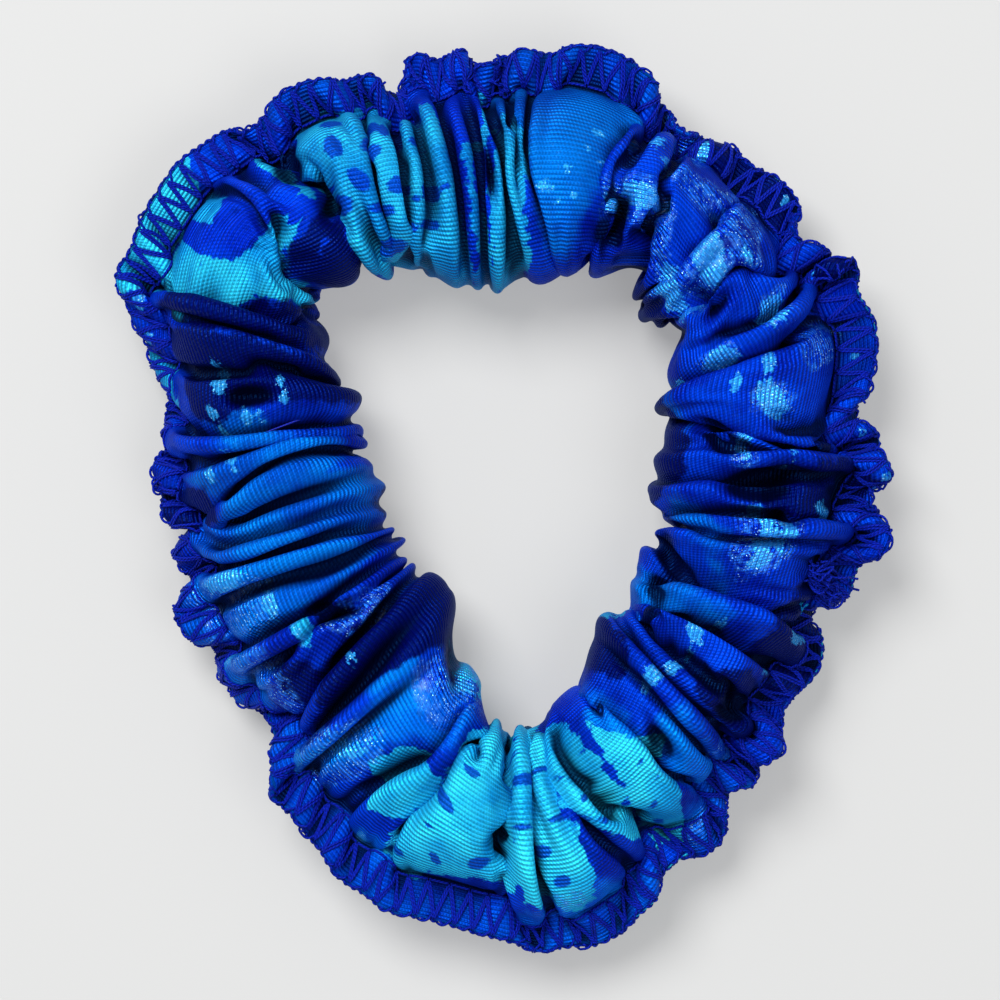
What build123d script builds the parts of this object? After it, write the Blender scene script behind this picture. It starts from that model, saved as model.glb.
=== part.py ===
"""Gymnastics hair scrunchie: a gathered strip of stretch fabric folded over a flat elastic ring and overlocked along its outer edge.

Frame: +Z up, the ring lies flat on the plane Z = 0, the origin is the middle of the bounding box on that plane,
+Y is the long way of the egg-shaped ring. Millimetres.
"""
from build123d import *
import math
import os

# ---- driving dimensions (mm) -------------------------------------------------------------------
RING_STEP_DEG = 15.0
# distance from the origin to the middle of the tube, every 15 degrees from +X
RING_RADII = [31.7, 33.35, 34.85, 37.4, 39.3, 39.8, 39.85, 41.3, 42.65, 41.45, 36.5, 30.05,
              25.7, 24.55, 25.3, 26.6, 29.5, 34.95, 39.9, 40.1, 35.6, 30.4, 28.2, 29.45]
TUBE_HALF_WIDTH = 11.0        # crest of a gather, across the tube
TUBE_EXTRA_WIDTH = 1.6        # the loosest part of the cover is this much wider
TUBE_EXTRA_AT_DEG = 240.0
TUBE_EXTRA_SPREAD_DEG = 24.0
TUBE_MID_Z = 9.4              # height of the tube's middle over the table
TUBE_HALF_HEIGHT = 10.2
GATHER_COUNT = 40             # gathers round the ring
GATHER_DEPTH = 1.1            # crest to valley
WALL = 0.9                    # gathered thickness of the fabric under each valley
FLAP_WIDTH = 5.4              # overlocked seam allowance
FLAP_THICKNESS = 1.2          # two layers of fabric
FLAP_WAVE_OUT = 1.0           # how far its edge waves in and out
FLAP_WAVES = 20
ELASTIC_WIDTH = 6.0
ELASTIC_THICKNESS = 1.2
ELASTIC_INSET = 4.0           # elastic's middle, inwards of the tube's middle
ELASTIC_LAP = 12.0            # length over which its two ends overlap
CORD_COUNT = 6                # rubber cords inside the braid
CORD_RADIUS = 0.22
CORD_BORE_RADIUS = 0.25
CORD_PITCH = 0.9
THREAD = 0.25                  # overlock thread
THREAD_GAP = 0.06
STITCH_COUNT = 130            # overlock stitches round the ring
END_SEAM_AT = 40              # station of the seam that joins the strip's two short ends
TAIL_AT_DEG = -17.0           # where the overlock starts and stops

os.makedirs("parts", exist_ok=True)

# ---- the ring's middle line ----------------------------------------------------------------------
ring_points = [
    (r * math.cos(math.radians(i * RING_STEP_DEG)), r * math.sin(math.radians(i * RING_STEP_DEG)))
    for i, r in enumerate(RING_RADII)
]
ring = Spline(*[Vector(x, y, 0) for x, y in ring_points], periodic=True)
STATIONS = 2 * GATHER_COUNT


def at(t):
    """Point, outward unit normal and unit tangent of the middle line at the share t of its length."""
    t = t % 1.0
    p, d = ring @ t, ring % t
    d = Vector(d.X, d.Y, 0).normalized()
    n = Vector(d.Y, -d.X, 0)
    if n.dot(Vector(p.X, p.Y, 0)) < 0:
        n = n * -1
    return Vector(p.X, p.Y, 0), n, d


def width_at(p):
    angle = math.degrees(math.atan2(p.Y, p.X)) % 360
    off = (angle - TUBE_EXTRA_AT_DEG + 180) % 360 - 180
    return TUBE_HALF_WIDTH + TUBE_EXTRA_WIDTH * math.exp(-((off / TUBE_EXTRA_SPREAD_DEG) ** 2))


def plan_at(t):
    """Point, normal and the plan half widths at the share t of the ring: of the tube and of the flap's edge."""
    p, n, d = at(t)
    w = width_at(p)
    out = w + FLAP_WIDTH + FLAP_WAVE_OUT * (math.cos(2 * math.pi * FLAP_WAVES * t) - 1) / 2
    return p, n, w, out


def station(i):
    """Everything the sections need at station i: even stations are crests, odd ones valleys."""
    i = i % STATIONS
    p, n, w, out = plan_at(i / STATIONS)
    crest = i % 2 == 0
    a = w - (0 if crest else GATHER_DEPTH)
    b = TUBE_HALF_HEIGHT - (0 if crest else GATHER_DEPTH * 0.8)
    return p, n, a, b, out


def place(p, n, x, z):
    return Vector(p.X + n.X * x, p.Y + n.Y * x, TUBE_MID_Z + z)


def cover_section(i):
    """Across the cover: the tube's wall and the flat double flap outside it."""
    p, n, a, b, out = station(i)
    h = FLAP_THICKNESS / 2
    start = math.degrees(math.asin(h / b)) + 4
    curve = []
    steps = 12
    for k in range(steps + 1):
        phi = math.radians(start + (360 - 2 * start) * k / steps)
        curve.append(place(p, n, a * math.cos(phi), b * math.sin(phi)))
    top, bottom = place(p, n, a * 0.985, h), place(p, n, a * 0.985, -h)
    curve = [top] + curve[1:-1] + [bottom]
    tip_low, tip_high = place(p, n, out, -h), place(p, n, out, h)
    wire = Wire([Spline(*curve), Line(bottom, tip_low), Line(tip_low, tip_high), Line(tip_high, top)])
    return Face(wire)


def hollow_section(i):
    p, n, a, b, out = station(i)
    ai, bi = width_at(p) - GATHER_DEPTH - WALL, TUBE_HALF_HEIGHT - GATHER_DEPTH - WALL
    pts = [place(p, n, ai * math.cos(2 * math.pi * k / 12), bi * math.sin(2 * math.pi * k / 12)) for k in range(12)]
    return Face(Wire([Spline(*pts, periodic=True)]))


def run_loft(section, first, last):
    return loft([section(i) for i in range(first, last + 1)], ruled=True)


# ---- cover: one strip of fabric, folded, gathered and sewn ------------------------------------------
halves = []
for first, last in ((0, STATIONS // 2), (STATIONS // 2, STATIONS)):
    halves.append(run_loft(cover_section, first, last) - run_loft(hollow_section, first, last))
cover = halves[0] + halves[1]
table = Pos(0, 0, -5) * Box(200, 200, 10)
cover = cover - table
export_step(cover, "parts/cover_fabric.step")

# ---- elastic: braided strip with rubber cords, its ends lapped ---------------------------------------
length = ring.length


def elastic_point(s, inset):
    p, n, d = at(s / length)
    shift = width_at(p) - TUBE_HALF_WIDTH
    return Vector(p.X - n.X * (inset + shift), p.Y - n.Y * (inset + shift), TUBE_MID_Z)


LAP_START = 0.62 * length     # the joint sits away from the cover's end seam
lap_shift = ELASTIC_THICKNESS + 0.2
fine = 60
lap_share = ELASTIC_LAP / (length * 0.8)
path_points = []
for k in range(fine + 1):
    s = length * k / fine * (1 + lap_share)
    blend = min(max((s - length + 9.0) / 8.0, 0.0), 1.0)
    blend = blend * blend * (3 - 2 * blend)
    path_points.append(elastic_point(LAP_START + s, ELASTIC_INSET - lap_shift * blend))
elastic_path = Spline(*path_points)


def strip_normal(t):
    d = elastic_path % t
    return Vector(d.Y, -d.X, 0).normalized()


shares = [k / 90 for k in range(91)]
half = ELASTIC_THICKNESS / 2
outer_side = [elastic_path @ t + strip_normal(t) * half for t in shares]
inner_side = [elastic_path @ t - strip_normal(t) * half for t in shares]
drop = Vector(0, 0, -ELASTIC_WIDTH / 2)
outline = Wire([
    Spline(*[q + drop for q in outer_side]),
    Line(outer_side[-1] + drop, inner_side[-1] + drop),
    Spline(*[q + drop for q in reversed(inner_side)]),
    Line(inner_side[0] + drop, outer_side[0] + drop),
])
braid = Solid.extrude(Face(outline), Vector(0, 0, ELASTIC_WIDTH))


def cord_along(radius, dz):
    line = elastic_path.moved(Location((0, 0, dz)))
    return sweep(Plane(origin=line @ 0, z_dir=line % 0) * Circle(radius), path=line).solids()[0]


levels = [(k - (CORD_COUNT - 1) / 2) * CORD_PITCH for k in range(CORD_COUNT)]
cords = [cord_along(CORD_RADIUS, dz) for dz in levels]
braid = braid.cut(*[cord_along(CORD_BORE_RADIUS, dz) for dz in levels])


# ---- threads -----------------------------------------------------------------------------------
TAIL_T = min((k / 360 for k in range(360)), key=lambda t: abs(
    (math.degrees(math.atan2(at(t)[0].Y, at(t)[0].X)) - TAIL_AT_DEG + 180) % 360 - 180))


def on_flap(t, share):
    """Plan position on the flap. share runs from the tube's crest line (0) to the flap's edge (1)."""
    p, n, w, out = plan_at(TAIL_T + t)
    x = w * (1 - share) + out * share
    return Vector(p.X + n.X * x, p.Y + n.Y * x, 0)


def flat_thread(points, low):
    """One open run of thread, THREAD wide and high, along plan points, its underside at height low."""
    left, right = [], []
    for i, q in enumerate(points):
        d1 = (q - points[i - 1]).normalized() if i else (points[1] - q).normalized()
        d2 = (points[i + 1] - q).normalized() if i < len(points) - 1 else d1
        mid = (d1 + d2).normalized()
        side = Vector(-mid.Y, mid.X, 0) * (THREAD / 2 / max(mid.dot(d2), 0.5))
        left.append(q + side)
        right.append(q - side)
    outline = [Vector(v.X, v.Y, low) for v in left + right[::-1]]
    return Solid.extrude(Face(Wire.make_polygon(outline, close=True)), Vector(0, 0, THREAD))


def looper_points():
    """Zigzag between the seam line and the edge, one stitch after the other."""
    points = []
    for k in range(STITCH_COUNT):
        for du, share in ((0.05, 0.3), (0.45, 0.3), (0.55, 0.93), (0.95, 0.93)):
            points.append(on_flap((k + du) / STITCH_COUNT, share))
    return points


zigzag = looper_points()
flap_top, flap_under = TUBE_MID_Z + FLAP_THICKNESS / 2, TUBE_MID_Z - FLAP_THICKNESS / 2
export_step(flat_thread(zigzag, flap_top + THREAD_GAP), "parts/overlock_upper_looper_thread.step")
export_step(flat_thread(zigzag, flap_under - THREAD_GAP - THREAD), "parts/overlock_lower_looper_thread.step")
seam_line = [on_flap(0.003 + 0.994 * k / 160, 0.17) for k in range(161)]
export_step(flat_thread(seam_line, flap_top + THREAD_GAP), "parts/overlock_needle_thread.step")

# zigzag that holds the elastic's lapped ends together: both faces of the lap and through it
lap_mid_s = LAP_START + ELASTIC_LAP / 2
legs = 8
rows = []
for face_side in (-1, 1):
    row = []
    for k in range(legs + 1):
        s = lap_mid_s - ELASTIC_LAP * 0.36 + ELASTIC_LAP * 0.72 * k / legs
        inset = ELASTIC_INSET + ELASTIC_THICKNESS / 2 + THREAD / 2 if face_side < 0 else ELASTIC_INSET - lap_shift - ELASTIC_THICKNESS / 2 - THREAD / 2
        q = elastic_point(s, inset)
        row.append(Vector(q.X, q.Y, TUBE_MID_Z + (1.8 if k % 2 else -1.8)))
    rows.append(row)


def rod(a, b, r):
    return Solid.make_cylinder(r, (b - a).length, Plane(origin=a, z_dir=(b - a).normalized()))


pieces = []
for row in rows:
    for a, b in zip(row, row[1:]):
        pieces.append(rod(a, b, THREAD / 2))
    for a in row:
        pieces.append(Pos(a.X, a.Y, a.Z) * Solid.make_sphere(THREAD / 2 * 1.02, angle1=-90, angle2=90))
for a, b in zip(*rows):
    pieces.append(rod(a, b, THREAD / 2 * 0.98))
join = pieces[0].fuse(*pieces[1:])
export_step(join, "parts/elastic_join_stitches.step")

# the stitches pass between the cords, through holes in the lapped braid
holes = [rod(a, b, THREAD / 2 + 0.02) for a, b in zip(*rows)]
braid = braid.cut(*holes)
export_step(braid, "parts/elastic_braid.step")
export_step(Compound(children=cords), "parts/elastic_rubber_cords.step")

# seam that joins the strip's short ends: a line of stitches round the inside of the tube
p, n, a, b, out = station(END_SEAM_AT)
ai, bi = width_at(p) - GATHER_DEPTH - WALL - 0.25, TUBE_HALF_HEIGHT - GATHER_DEPTH - WALL - 0.25
loop_points = [place(p, n, ai * math.cos(2 * math.pi * k / 14), bi * math.sin(2 * math.pi * k / 14)) for k in range(14)]
loop = Spline(*loop_points, periodic=True)
loop_plane = Plane(origin=loop @ 0, z_dir=loop % 0)
end_seam = sweep(loop_plane * Circle(THREAD / 2), path=loop)
export_step(end_seam, "parts/cover_end_seam_stitches.step")

# thread chain left where the overlock starts and stops, lying on the flap
tail_points = []
for k, (t, share, z) in enumerate(((0.0, 0.5, 0.95), (0.012, 0.8, 1.0), (0.026, 0.95, 1.3), (0.041, 0.7, 1.7), (0.05, 0.35, 1.6))):
    q = on_flap(t, share)
    tail_points.append(Vector(q.X, q.Y, flap_top + z))
tail_path = Spline(*tail_points)
tail = sweep(Plane(origin=tail_path @ 0, z_dir=tail_path % 0) * Circle(0.4), path=tail_path)
export_step(tail, "parts/overlock_thread_tail.step")
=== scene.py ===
"""Gathered fabric hair scrunchie: a printed cloth tube over an elastic, with an overlocked edge.

The ring lies flat on the table, centred on the Z axis, its sewn edge outwards. The cloth strip
starts with its folds in place and is relaxed by a small cloth solver: stretch, shear, bending,
contact with itself, with the elastic and with the table. Lengths are in mm until a mesh is made.

Places on the ring are given as degrees round it, and as a share of its width: 0 on the inner
line, about 1 at the sewn edge, negative underneath.
"""
import math
from types import SimpleNamespace
import bpy
import numpy as np
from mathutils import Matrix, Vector


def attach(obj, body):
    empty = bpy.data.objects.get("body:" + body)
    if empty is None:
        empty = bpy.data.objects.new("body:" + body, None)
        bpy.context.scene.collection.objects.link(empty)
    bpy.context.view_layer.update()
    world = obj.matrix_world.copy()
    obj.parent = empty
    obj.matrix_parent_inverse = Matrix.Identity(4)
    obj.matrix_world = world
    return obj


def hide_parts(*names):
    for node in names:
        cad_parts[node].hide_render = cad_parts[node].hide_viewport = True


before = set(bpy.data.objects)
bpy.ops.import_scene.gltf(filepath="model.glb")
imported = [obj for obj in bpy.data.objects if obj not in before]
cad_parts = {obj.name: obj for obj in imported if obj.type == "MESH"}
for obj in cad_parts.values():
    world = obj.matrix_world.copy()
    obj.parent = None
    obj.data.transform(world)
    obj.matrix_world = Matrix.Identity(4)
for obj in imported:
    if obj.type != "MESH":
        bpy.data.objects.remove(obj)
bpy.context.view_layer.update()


def points(text):
    """Table written as text: commas between rows, spaces between columns."""
    return np.array([row.split() for row in text.split(",")], float)


def patches(text):
    """Outlines written as text: semicolons between outlines."""
    return [points(outline) for outline in text.split(";")]


def spots(text):
    """Ellipses: degrees, share, half length and half width in mm, turn in degrees (0 if absent)."""
    rows = [[float(number) for number in row.split()] for row in text.split(",")]
    return [(row + [0.0])[:5] for row in rows]


# ---------------------------------------------------------------- cloth sizes
ROWS = 44              # rows round the tube
EDGE_ROWS = 4          # rows across the sewn edge
COLUMN_STEP = 0.98     # between columns along the strip
TUBE_ROUND = 60.0      # cloth round the tube
EDGE_WIDTH = 5.4       # sewn edge, from the seam line outwards
EDGE_HALF = 0.42       # half the thickness of the sewn edge
SEAM_SHARE = 0.80      # share of the width at which the tube ends and the sewn edge starts
MID_Z = 9.3
HALF_HEIGHT = 9.4
GATHER = 0.72          # how close the elastic gathers the knit at the inner rows
BULGE = 0.82           # how much a fold bulges over its crease
DEEPEN = 0.5           # how much the folds are deepened after settling

# elastic inside the tube: height of its centre and half sizes of its section
ELASTIC_Z = 9.4
ELASTIC_HALF_WIDTH = 1.75
ELASTIC_HALF_HEIGHT = 4.1

# contact of the cloth with itself
CLOTH_GAP = 0.72       # least distance between parts of the cloth
PAIR_REACH = 1.35      # pairs nearer than this are watched
PASSES = 5             # solver passes per search for pairs

THREAD_RADIUS = 0.18
TAIL_RADIUS = 0.15
THREAD_SIDES = 6

# ---------------------------------------------------------------- outline and folds of the ring
# radius in mm as a mean, then the cosine and sine terms of 1 to 5 waves a turn
INNER = [22.16, 2.34, 4.93, -5.07, -2.27, -0.62, 2.34, -0.49, 0.96, 0.75, -2.81]
OUTER = [50.03, 0.73, 3.28, -5.34, -1.72, 0.96, 2.99, 0.09, 0.48, 0.93, -0.63]

# where the sewn edge ends: degrees, share
EDGE = points("""
0 1.02, 5 .99, 9.5 1.0, 13 .88, 18 .97, 22 1.06, 26 1.11, 30 1.09, 35 1.03, 40 .96, 43 .9,
44 1.03, 48 1.03, 54 .94, 60 .84, 64 .8, 67 .9, 71 1.08, 75 1.14, 80 1.11, 85 1.04, 91 1.0,
93 1.0, 96 1.04, 100 1.0, 104.5 .87, 107 .95, 112 .98, 118 1.0, 122 .95, 127 .9, 130 1.03,
136 1.06, 142 1.08, 147 1.13, 151 1.08, 153.5 1.0, 155 .93, 160 .9, 165 .88, 169 .9, 175 .96,
180 1.03, 184 1.0, 186 .92, 190 1.04, 193 1.02, 195 .92, 197 1.05, 201 1.09, 205 1.03, 208 .93,
210 .98, 216 .97, 221 .9, 226 .82, 228 1.0, 232 1.05, 240 1.06, 250 1.08, 256 1.06, 259 .95,
265 .95, 272 .98, 280 1.01, 287 1.0, 292 .93, 298 .92, 301 1.09, 304 1.12, 307 .91, 311 1.0,
316 1.06, 321 1.09, 323 .88, 326 1.0, 330 1.04, 335 1.0, 339 .8, 341 .81, 342 .97, 348 .98,
354 1.07, 359 1.05""")
# how far the inner folds stand out of the smooth inner line: degrees, share
LOBES = points("""
0 -.03, 10 .02, 17.5 .06, 20 .03, 27 .02, 28.3 .07, 33 -.01, 38 -.06, 42 -.02, 43.5 .06, 46 0,
51 -.1, 56 -.05, 58.3 .05, 62 .09, 63 .06, 66 .02, 70 .04, 72 0, 76 .03, 80 0, 83 .08, 86 .02,
90 -.02, 94 -.01, 98 -.04, 103 -.05, 108 0, 110 .02, 114 -.01, 116 .07, 119 .02, 120 .07,
124 .03, 130 .1, 133 .1, 135 0, 139 0, 141 .04, 143 -.02, 145 -.05, 150 -.04, 152 -.08, 157 0,
161 .06, 165 .04, 172 .05, 178 .04, 181 .08, 183 .06, 187 0, 193 -.02, 197 -.06, 202 -.08, 208 0,
213 .04, 217 .06, 220 .08, 224 .03, 232 0, 240 -.04, 247 -.1, 250 -.06, 252 .1, 255.5 .11,
258 -.01, 261 -.05, 262.5 .02, 265 .12, 268 .12, 271 .1, 274 .05, 278 0, 284 -.05, 290 -.02,
293 .09, 294.5 0, 300 -.07, 308 -.04, 315 .02, 317.5 .12, 320 .15, 322.5 .16, 324 .06, 328 0,
334 -.02, 345 -.03, 350 0, 351.8 .1, 353 .02, 357 -.04""")
# creases between the folds: degrees at 0, 25, 50 and 75 per cent of the width, then the
# strength at each
CREASE_STATIONS = np.array([0, .25, .5, .75])
CREASES = points("""
-.5 -1.5 -3 -4  1 .7 .5 .5, 8 6 5 4.5  .7 1 1 1, 17.8 14 8.8 7  1 1 .4 .2,
27.3 22.5 14.5 10  1 1 1 .8, 29.3 30 29.6 32.5  1 1 1 1, 43 38.8 34.6 35.7  1 .9 .8 .3,
50.3 47.6 43.6 39  1 1 1 1, 54.6 54.7 54 53.3  .3 .8 1 1, 59 62 63 63  1 .5 .1 .2,
65.5 69 70.6 68.5  .8 .6 .2 .5, 70.5 73.3 73.5 72  1 1 1 1, 76 80.5 85.8 86.5  1 1 .9 .4,
84 85.8 88 89.2  .9 .7 .9 .9, 90.3 89.1 90.3 91.8  1 1 .8 .8, 94 92.9 93.5 95.5  .6 1 .8 .5,
97.5 96.5 96.5 100  1 1 1 1, 107 102.5 101.2 102.5  1 1 .8 .3, 110.5 107 105.5 105.3  .8 .8 1 1,
115.6 112 110.5 110  1 .4 .15 .1, 120.2 120 119.5 123.5  1 1 1 1, 131 129.5 127 131  1 .7 .2 0,
133.2 136 142.5 147.5  1 1 1 1, 141 143.8 148.2 150.8  1 .9 .9 1, 144.8 147.8 154 157.5  1 1 1 .9,
150.3 155.5 163 166.5  1 .8 .9 .8, 156.5 161.5 168.4 173  .9 1 1 1, 161 166.5 173.5 181  1 1 1 1,
168 174 180 186.3  .8 .9 .9 .8, 181.5 183 187 190.3  1 .8 .9 .9, 193 192.5 191.7 193.7  .9 .9 1 1,
198.5 199.5 200.5 200.5  .7 .9 .9 0, 207.5 207 208 208.8  1 1 1 1, 213 211.2 212 214  .7 .8 .5 .3,
221 220.3 220 226  1 1 1 1, 238 231.8 231.8 230.5  .8 1 1 1, 252.7 247.8 240 234.5  1 1 1 .9,
261.5 256 247.5 241.5  .9 .8 .9 .9, 266.3 260.5 255.3 251.7  1 1 1 1,
272 271.5 270.6 271.3  1 1 1 1, 276 274.6 274.8 277.5  .8 .9 1 .5, 279 280 284.5 290  .6 .6 1 .8,
282.5 286.2 292 294  1 1 1 1, 293.8 297.5 302.5 305.8  1 1 1 .5, 303.5 305.7 308.3 310  .5 .9 1 1,
316.3 311.8 312.3 313.5  1 1 .5 .6, 319.3 317.5 318 318.5  .3 .5 1 1, 322.8 327 330 329  1 .9 .9 1,
332 334.2 334.6 336.5  .3 .9 .9 .6, 346 342.5 340.5 343.5  .6 1 .7 .5, 351.8 350 351 352  1 .8 .4 .3
""")
# pinches of the sewn edge, and how high the scallop after each stands: degrees, mm
PINCHES = points("""
11.5 1.6, 43.3 -1.0, 65.5 1.8, 92 -.6, 104.8 1.4, 126.5 1.6, 154.5 -1.4, 166.5 1.2, 185.3 -1.6,
194.6 1.6, 208.4 -1.2, 225.8 1.6, 260.5 1.2, 295 -1.8, 307 1.4, 323.2 -1.2, 340.8 1.8""")
# where the tube reaches further out over the sewn edge: degrees, share
SEAM = points("""
0 .8, 150 .8, 158 .84, 166 .9, 180 .9, 200 .9, 216 .9, 226 .84, 234 .8, 270 .8, 275 .89, 282 .91,
287 .84, 291 .8, 322 .8, 330 .86, 344 .84, 352 .8""")
# how far the sewn edge droops (-) or stands up (+): degrees, mm
DROOP = points("""
0 0, 150 0, 162 -2.5, 180 -3.5, 200 -2.5, 216 -3.5, 230 0, 269 0, 275 -2.2, 283 -2.4, 291 0,
322 0, 334 -2.0, 346 -1.0, 355 0""")
# how much spare cloth the folds hold: degrees, factor
SLACK = points("0 1, 78 1, 84 .6, 98 .6, 104 1, 360 1")
# how far the creases wander on the upper side: degrees, factor
WANDER = points("0 3.6, 145 3.6, 155 6.0, 215 6.0, 225 3.6")

# ---------------------------------------------------------------- printed pattern
# outlines of the patches of each colour: degrees, share
PATCHES = {
    "cyan": patches("""
86.5 .62, 89 .74, 91 .72, 91.5 .2, 90.5 -.1, 86 -.12, 84 .08, 86.5 .35;
91.8 .9, 95 .97, 96.3 .75, 95.3 .5, 95 .1, 97 -.05, 93 -.2, 90.5 -.1, 91 .3, 92.3 .6;
96.5 .3, 98.3 .6, 100.8 .73, 103.8 .74, 105 .66, 107 .5, 110 .3, 114 .12, 117 -.1, 108 -.22,
97 -.15, 96 .1;
105.8 .77, 108.5 .84, 115 .84, 120.5 .79, 121.2 .7, 119.5 .5, 119.2 .3, 119.5 .05, 116 -.05,
112 0, 107 .2, 106.3 .5;
120.5 .45, 122.2 .66, 125.3 .8, 127.6 .78, 124.3 .56, 127 .43, 132 .43, 137 .55, 139.6 .75,
139.8 .9, 149 .9, 148.6 .8, 145.3 .66, 141.2 .45, 136.2 .3, 133.6 .12, 132.5 -.05, 130.6 .05,
130 .25, 127 .36, 123 .38;
130.8 .72, 132 .84, 136.4 .85, 134.6 .71;
132.5 .88, 140 .9, 150 .9, 150.2 1.15, 142 1.15, 132.5 1.12;
155 .95, 163 1.0, 164.5 .88, 158 .85;
209.5 .58, 213 .6, 216 .57, 214 .5, 210 .52;
241 .73, 245 .81, 249 .79, 254 .62, 256 .46, 252 .44, 246 .55, 243 .65;
250 .82, 251.5 .9, 255 .91, 258 .81, 262 .75, 267 .71, 271 .75, 273 .68, 272.6 .4, 274 .1,
273 -.1, 268 -.05, 265 .02, 262 .14, 258 .35, 255 .55, 252 .68;
271.8 .55, 273.5 .78, 277 .83, 280 .89, 283.6 .86, 284.3 .72, 282.8 .5, 280 .38, 279.5 .25,
281 .05, 279 -.12, 275 -.1, 273.8 .05, 272.3 .2;
280.6 .4, 285 .5, 289 .63, 292.4 .74, 294 .72, 293.2 .5, 289.3 .28, 285.5 .12, 281 -.05,
279.5 .1, 280 .3;
294.3 .85, 298 .87, 301.2 .76, 303.2 .62, 305.3 .55, 304.7 .5, 300 .42, 295 .24, 289.5 .14,
290.5 .22, 293.5 .45"""),
    "teal": patches("""
69 .95, 71 1.15, 80 1.15, 92 1.1, 92.3 .8, 89.5 .7, 86 .5, 84 .3, 79 .1, 74 .1, 73.5 .5, 72 .75;
160 .74, 165 .78, 170 .62, 176 .87, 183 .74, 189 .94, 193 .87, 192 .5, 193.5 .1, 186 -.1,
176 -.05, 166 -.05, 171 .22, 162 .1, 157 .1, 163 .35, 160 .5;
193 .72, 196.5 1.0, 205 1.1, 208 .8, 207 .3, 200 .1, 194 .2;
208 .8, 209 1.0, 218 1.0, 223 .9, 216 .84;
226 .85, 228 1.1, 256 1.1, 262 .86, 250 .88, 240 .92;
262 .84, 262 1.1, 290 1.1, 294 .9, 285 .76, 275 .84;
230 .86, 233.5 .94, 239 .76, 243 .6, 249 .46, 257 .31, 262 .1, 256 .12, 246 .3, 240 .46,
236 .68, 232 .8;
303 .7, 306 .95, 311 1.05, 310 .5, 306 .45;
289 .12, 297 .35, 302 .52, 300 .3, 294 .02;
324 .05, 328 .3, 330 .48, 333.4 .52, 335 .2, 333 -.05, 326 -.1;
297.5 .85, 300.5 1.1, 306 1.1, 306.5 .9, 302 .8;
341 .42, 344 .3, 348 .36, 352 .24, 358 .22, 362 .1, 355 .03;
232 .55, 238 .5, 244 .36, 247 .27, 243 .25, 236 .36;
104 .86, 104 1.1, 120 1.1, 124 .92, 118 .84"""),
    "royal": patches("""
122.6 .52, 124.2 .64, 126.7 .79, 127.6 .9, 132 .9, 131.3 .75, 133 .68, 135.4 .73, 136.8 .88,
140 .9, 139.5 .72, 136 .57, 133 .48, 130 .445, 127.5 .44, 125 .48;
93.8 .94, 97 .95, 99.6 .86, 99.2 .72, 96.4 .62, 94.2 .65, 93 .73;
92.4 .62, 94.6 .62, 94.6 .45, 93 .25, 92 .1, 91.8 .35;
121 .4, 123 .5, 127 .46, 128 .38, 124 .36;
282 .05, 288 .12, 293 .08, 292 -.1, 284 -.15, 279 -.08"""),
    "navy": patches("""
119.5 .36, 124 .35, 129 .29, 131.2 .12, 129 .0, 120.5 .0;
133.6 .13, 136 .28, 141 .42, 145 .62, 147.7 .77, 150.3 .86, 151.3 .7, 148 .48, 144 .22, 141 0,
138 -.12, 134 -.1;
143 .05, 147 .42, 150 .62, 152 .84, 158 .8, 165 .82, 166.3 .7, 160.5 .5, 155 .3, 150 .05,
148 -.12, 143 -.1;
177.5 .8, 178 1.15, 184.5 1.1, 185 .8;
214.5 .76, 218 .81, 224 .79, 226.3 .7, 222 .62, 216 .65;
218.5 .45, 222 .6, 228 .7, 232 .86, 232.5 .52, 241 .3, 252.5 .06, 253 -.2, 236 -.3, 222 -.1,
219.5 .2;
209.5 .42, 213.6 .42, 213.6 .3, 210 .28;
43.3 .78, 43.8 1.1, 54 1.1, 64 .86, 58 .75, 50 .73;
313.5 .88, 316 .5, 319 .44, 324 .66, 323 .88;
0 .02, 10 .12, 20 .1, 30 .06, 36 -.1, 15 -.25, -8 -.1;
324 .8, 328 1.1, 338 1.0, 346 .78, 338 .7, 330 .7;
297 .02, 304 .22, 309 .2, 311 .05, 306 -.15, 298 -.12;
-2 .48, -3 .85, 2 1.1, 6 .85, 5.5 .5;
49 .06, 55 .1, 58.5 .02, 56 -.15, 50 -.15"""),
    "foil": patches("""
56.5 .2, 58 .3, 60 .4, 64 .5, 70 .52, 71.8 .35, 71.3 .28, 66 .3, 62 .22, 57 .15;
43.5 .6, 46 .72, 51 .77, 52.8 .6, 53 .35, 56.5 .15, 54 .08, 50 .2, 46.5 .35;
53.8 .73, 58 .67, 63.5 .61, 62 .55, 57 .51, 54.3 .56;
58.5 .76, 61 .88, 64 .9, 68 .84, 67 .75, 62 .72;
16.8 .6, 20 .63, 22.4 .6, 23 .46, 20 .42, 17.6 .5;
23.5 .74, 25 .9, 29 .94, 31 .86, 30.5 .74, 27 .7;
33.3 .56, 34 .68, 37.8 .68, 38 .56, 36 .52;
33 .2, 34 .38, 36.5 .34, 38.2 .2, 36.5 .14;
342 .45, 345 .62, 351 .65, 357 .57, 359.6 .46, 358 .35, 352 .34, 346 .38;
194.5 .7, 197 .96, 205 .98, 207 .8, 206 .66, 200 .63;
229.8 .8, 232 .96, 238 .92, 243.5 .66, 242 .56, 236 .62;
244.5 .3, 249 .36, 256 .28, 262 .06, 260 -.06, 252 .05;
208 .74, 210 .9, 219 .86, 225 .84, 224 .79, 214 .74;
210.6 .34, 214 .46, 219 .41, 222.5 .2, 216 .1, 211 .2;
277.8 .79, 278.5 .86, 281.5 .87, 282 .8;
296.5 .84, 299 .96, 304 .96, 304.5 .84;
8 .36, 10 .42, 16 .38, 16 .3, 11 .32;
43.8 .2, 45 .26, 47.6 .18, 47.6 .08, 45.5 .08;
309 .72, 310 .8, 313 .82, 314 .74"""),
}
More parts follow.
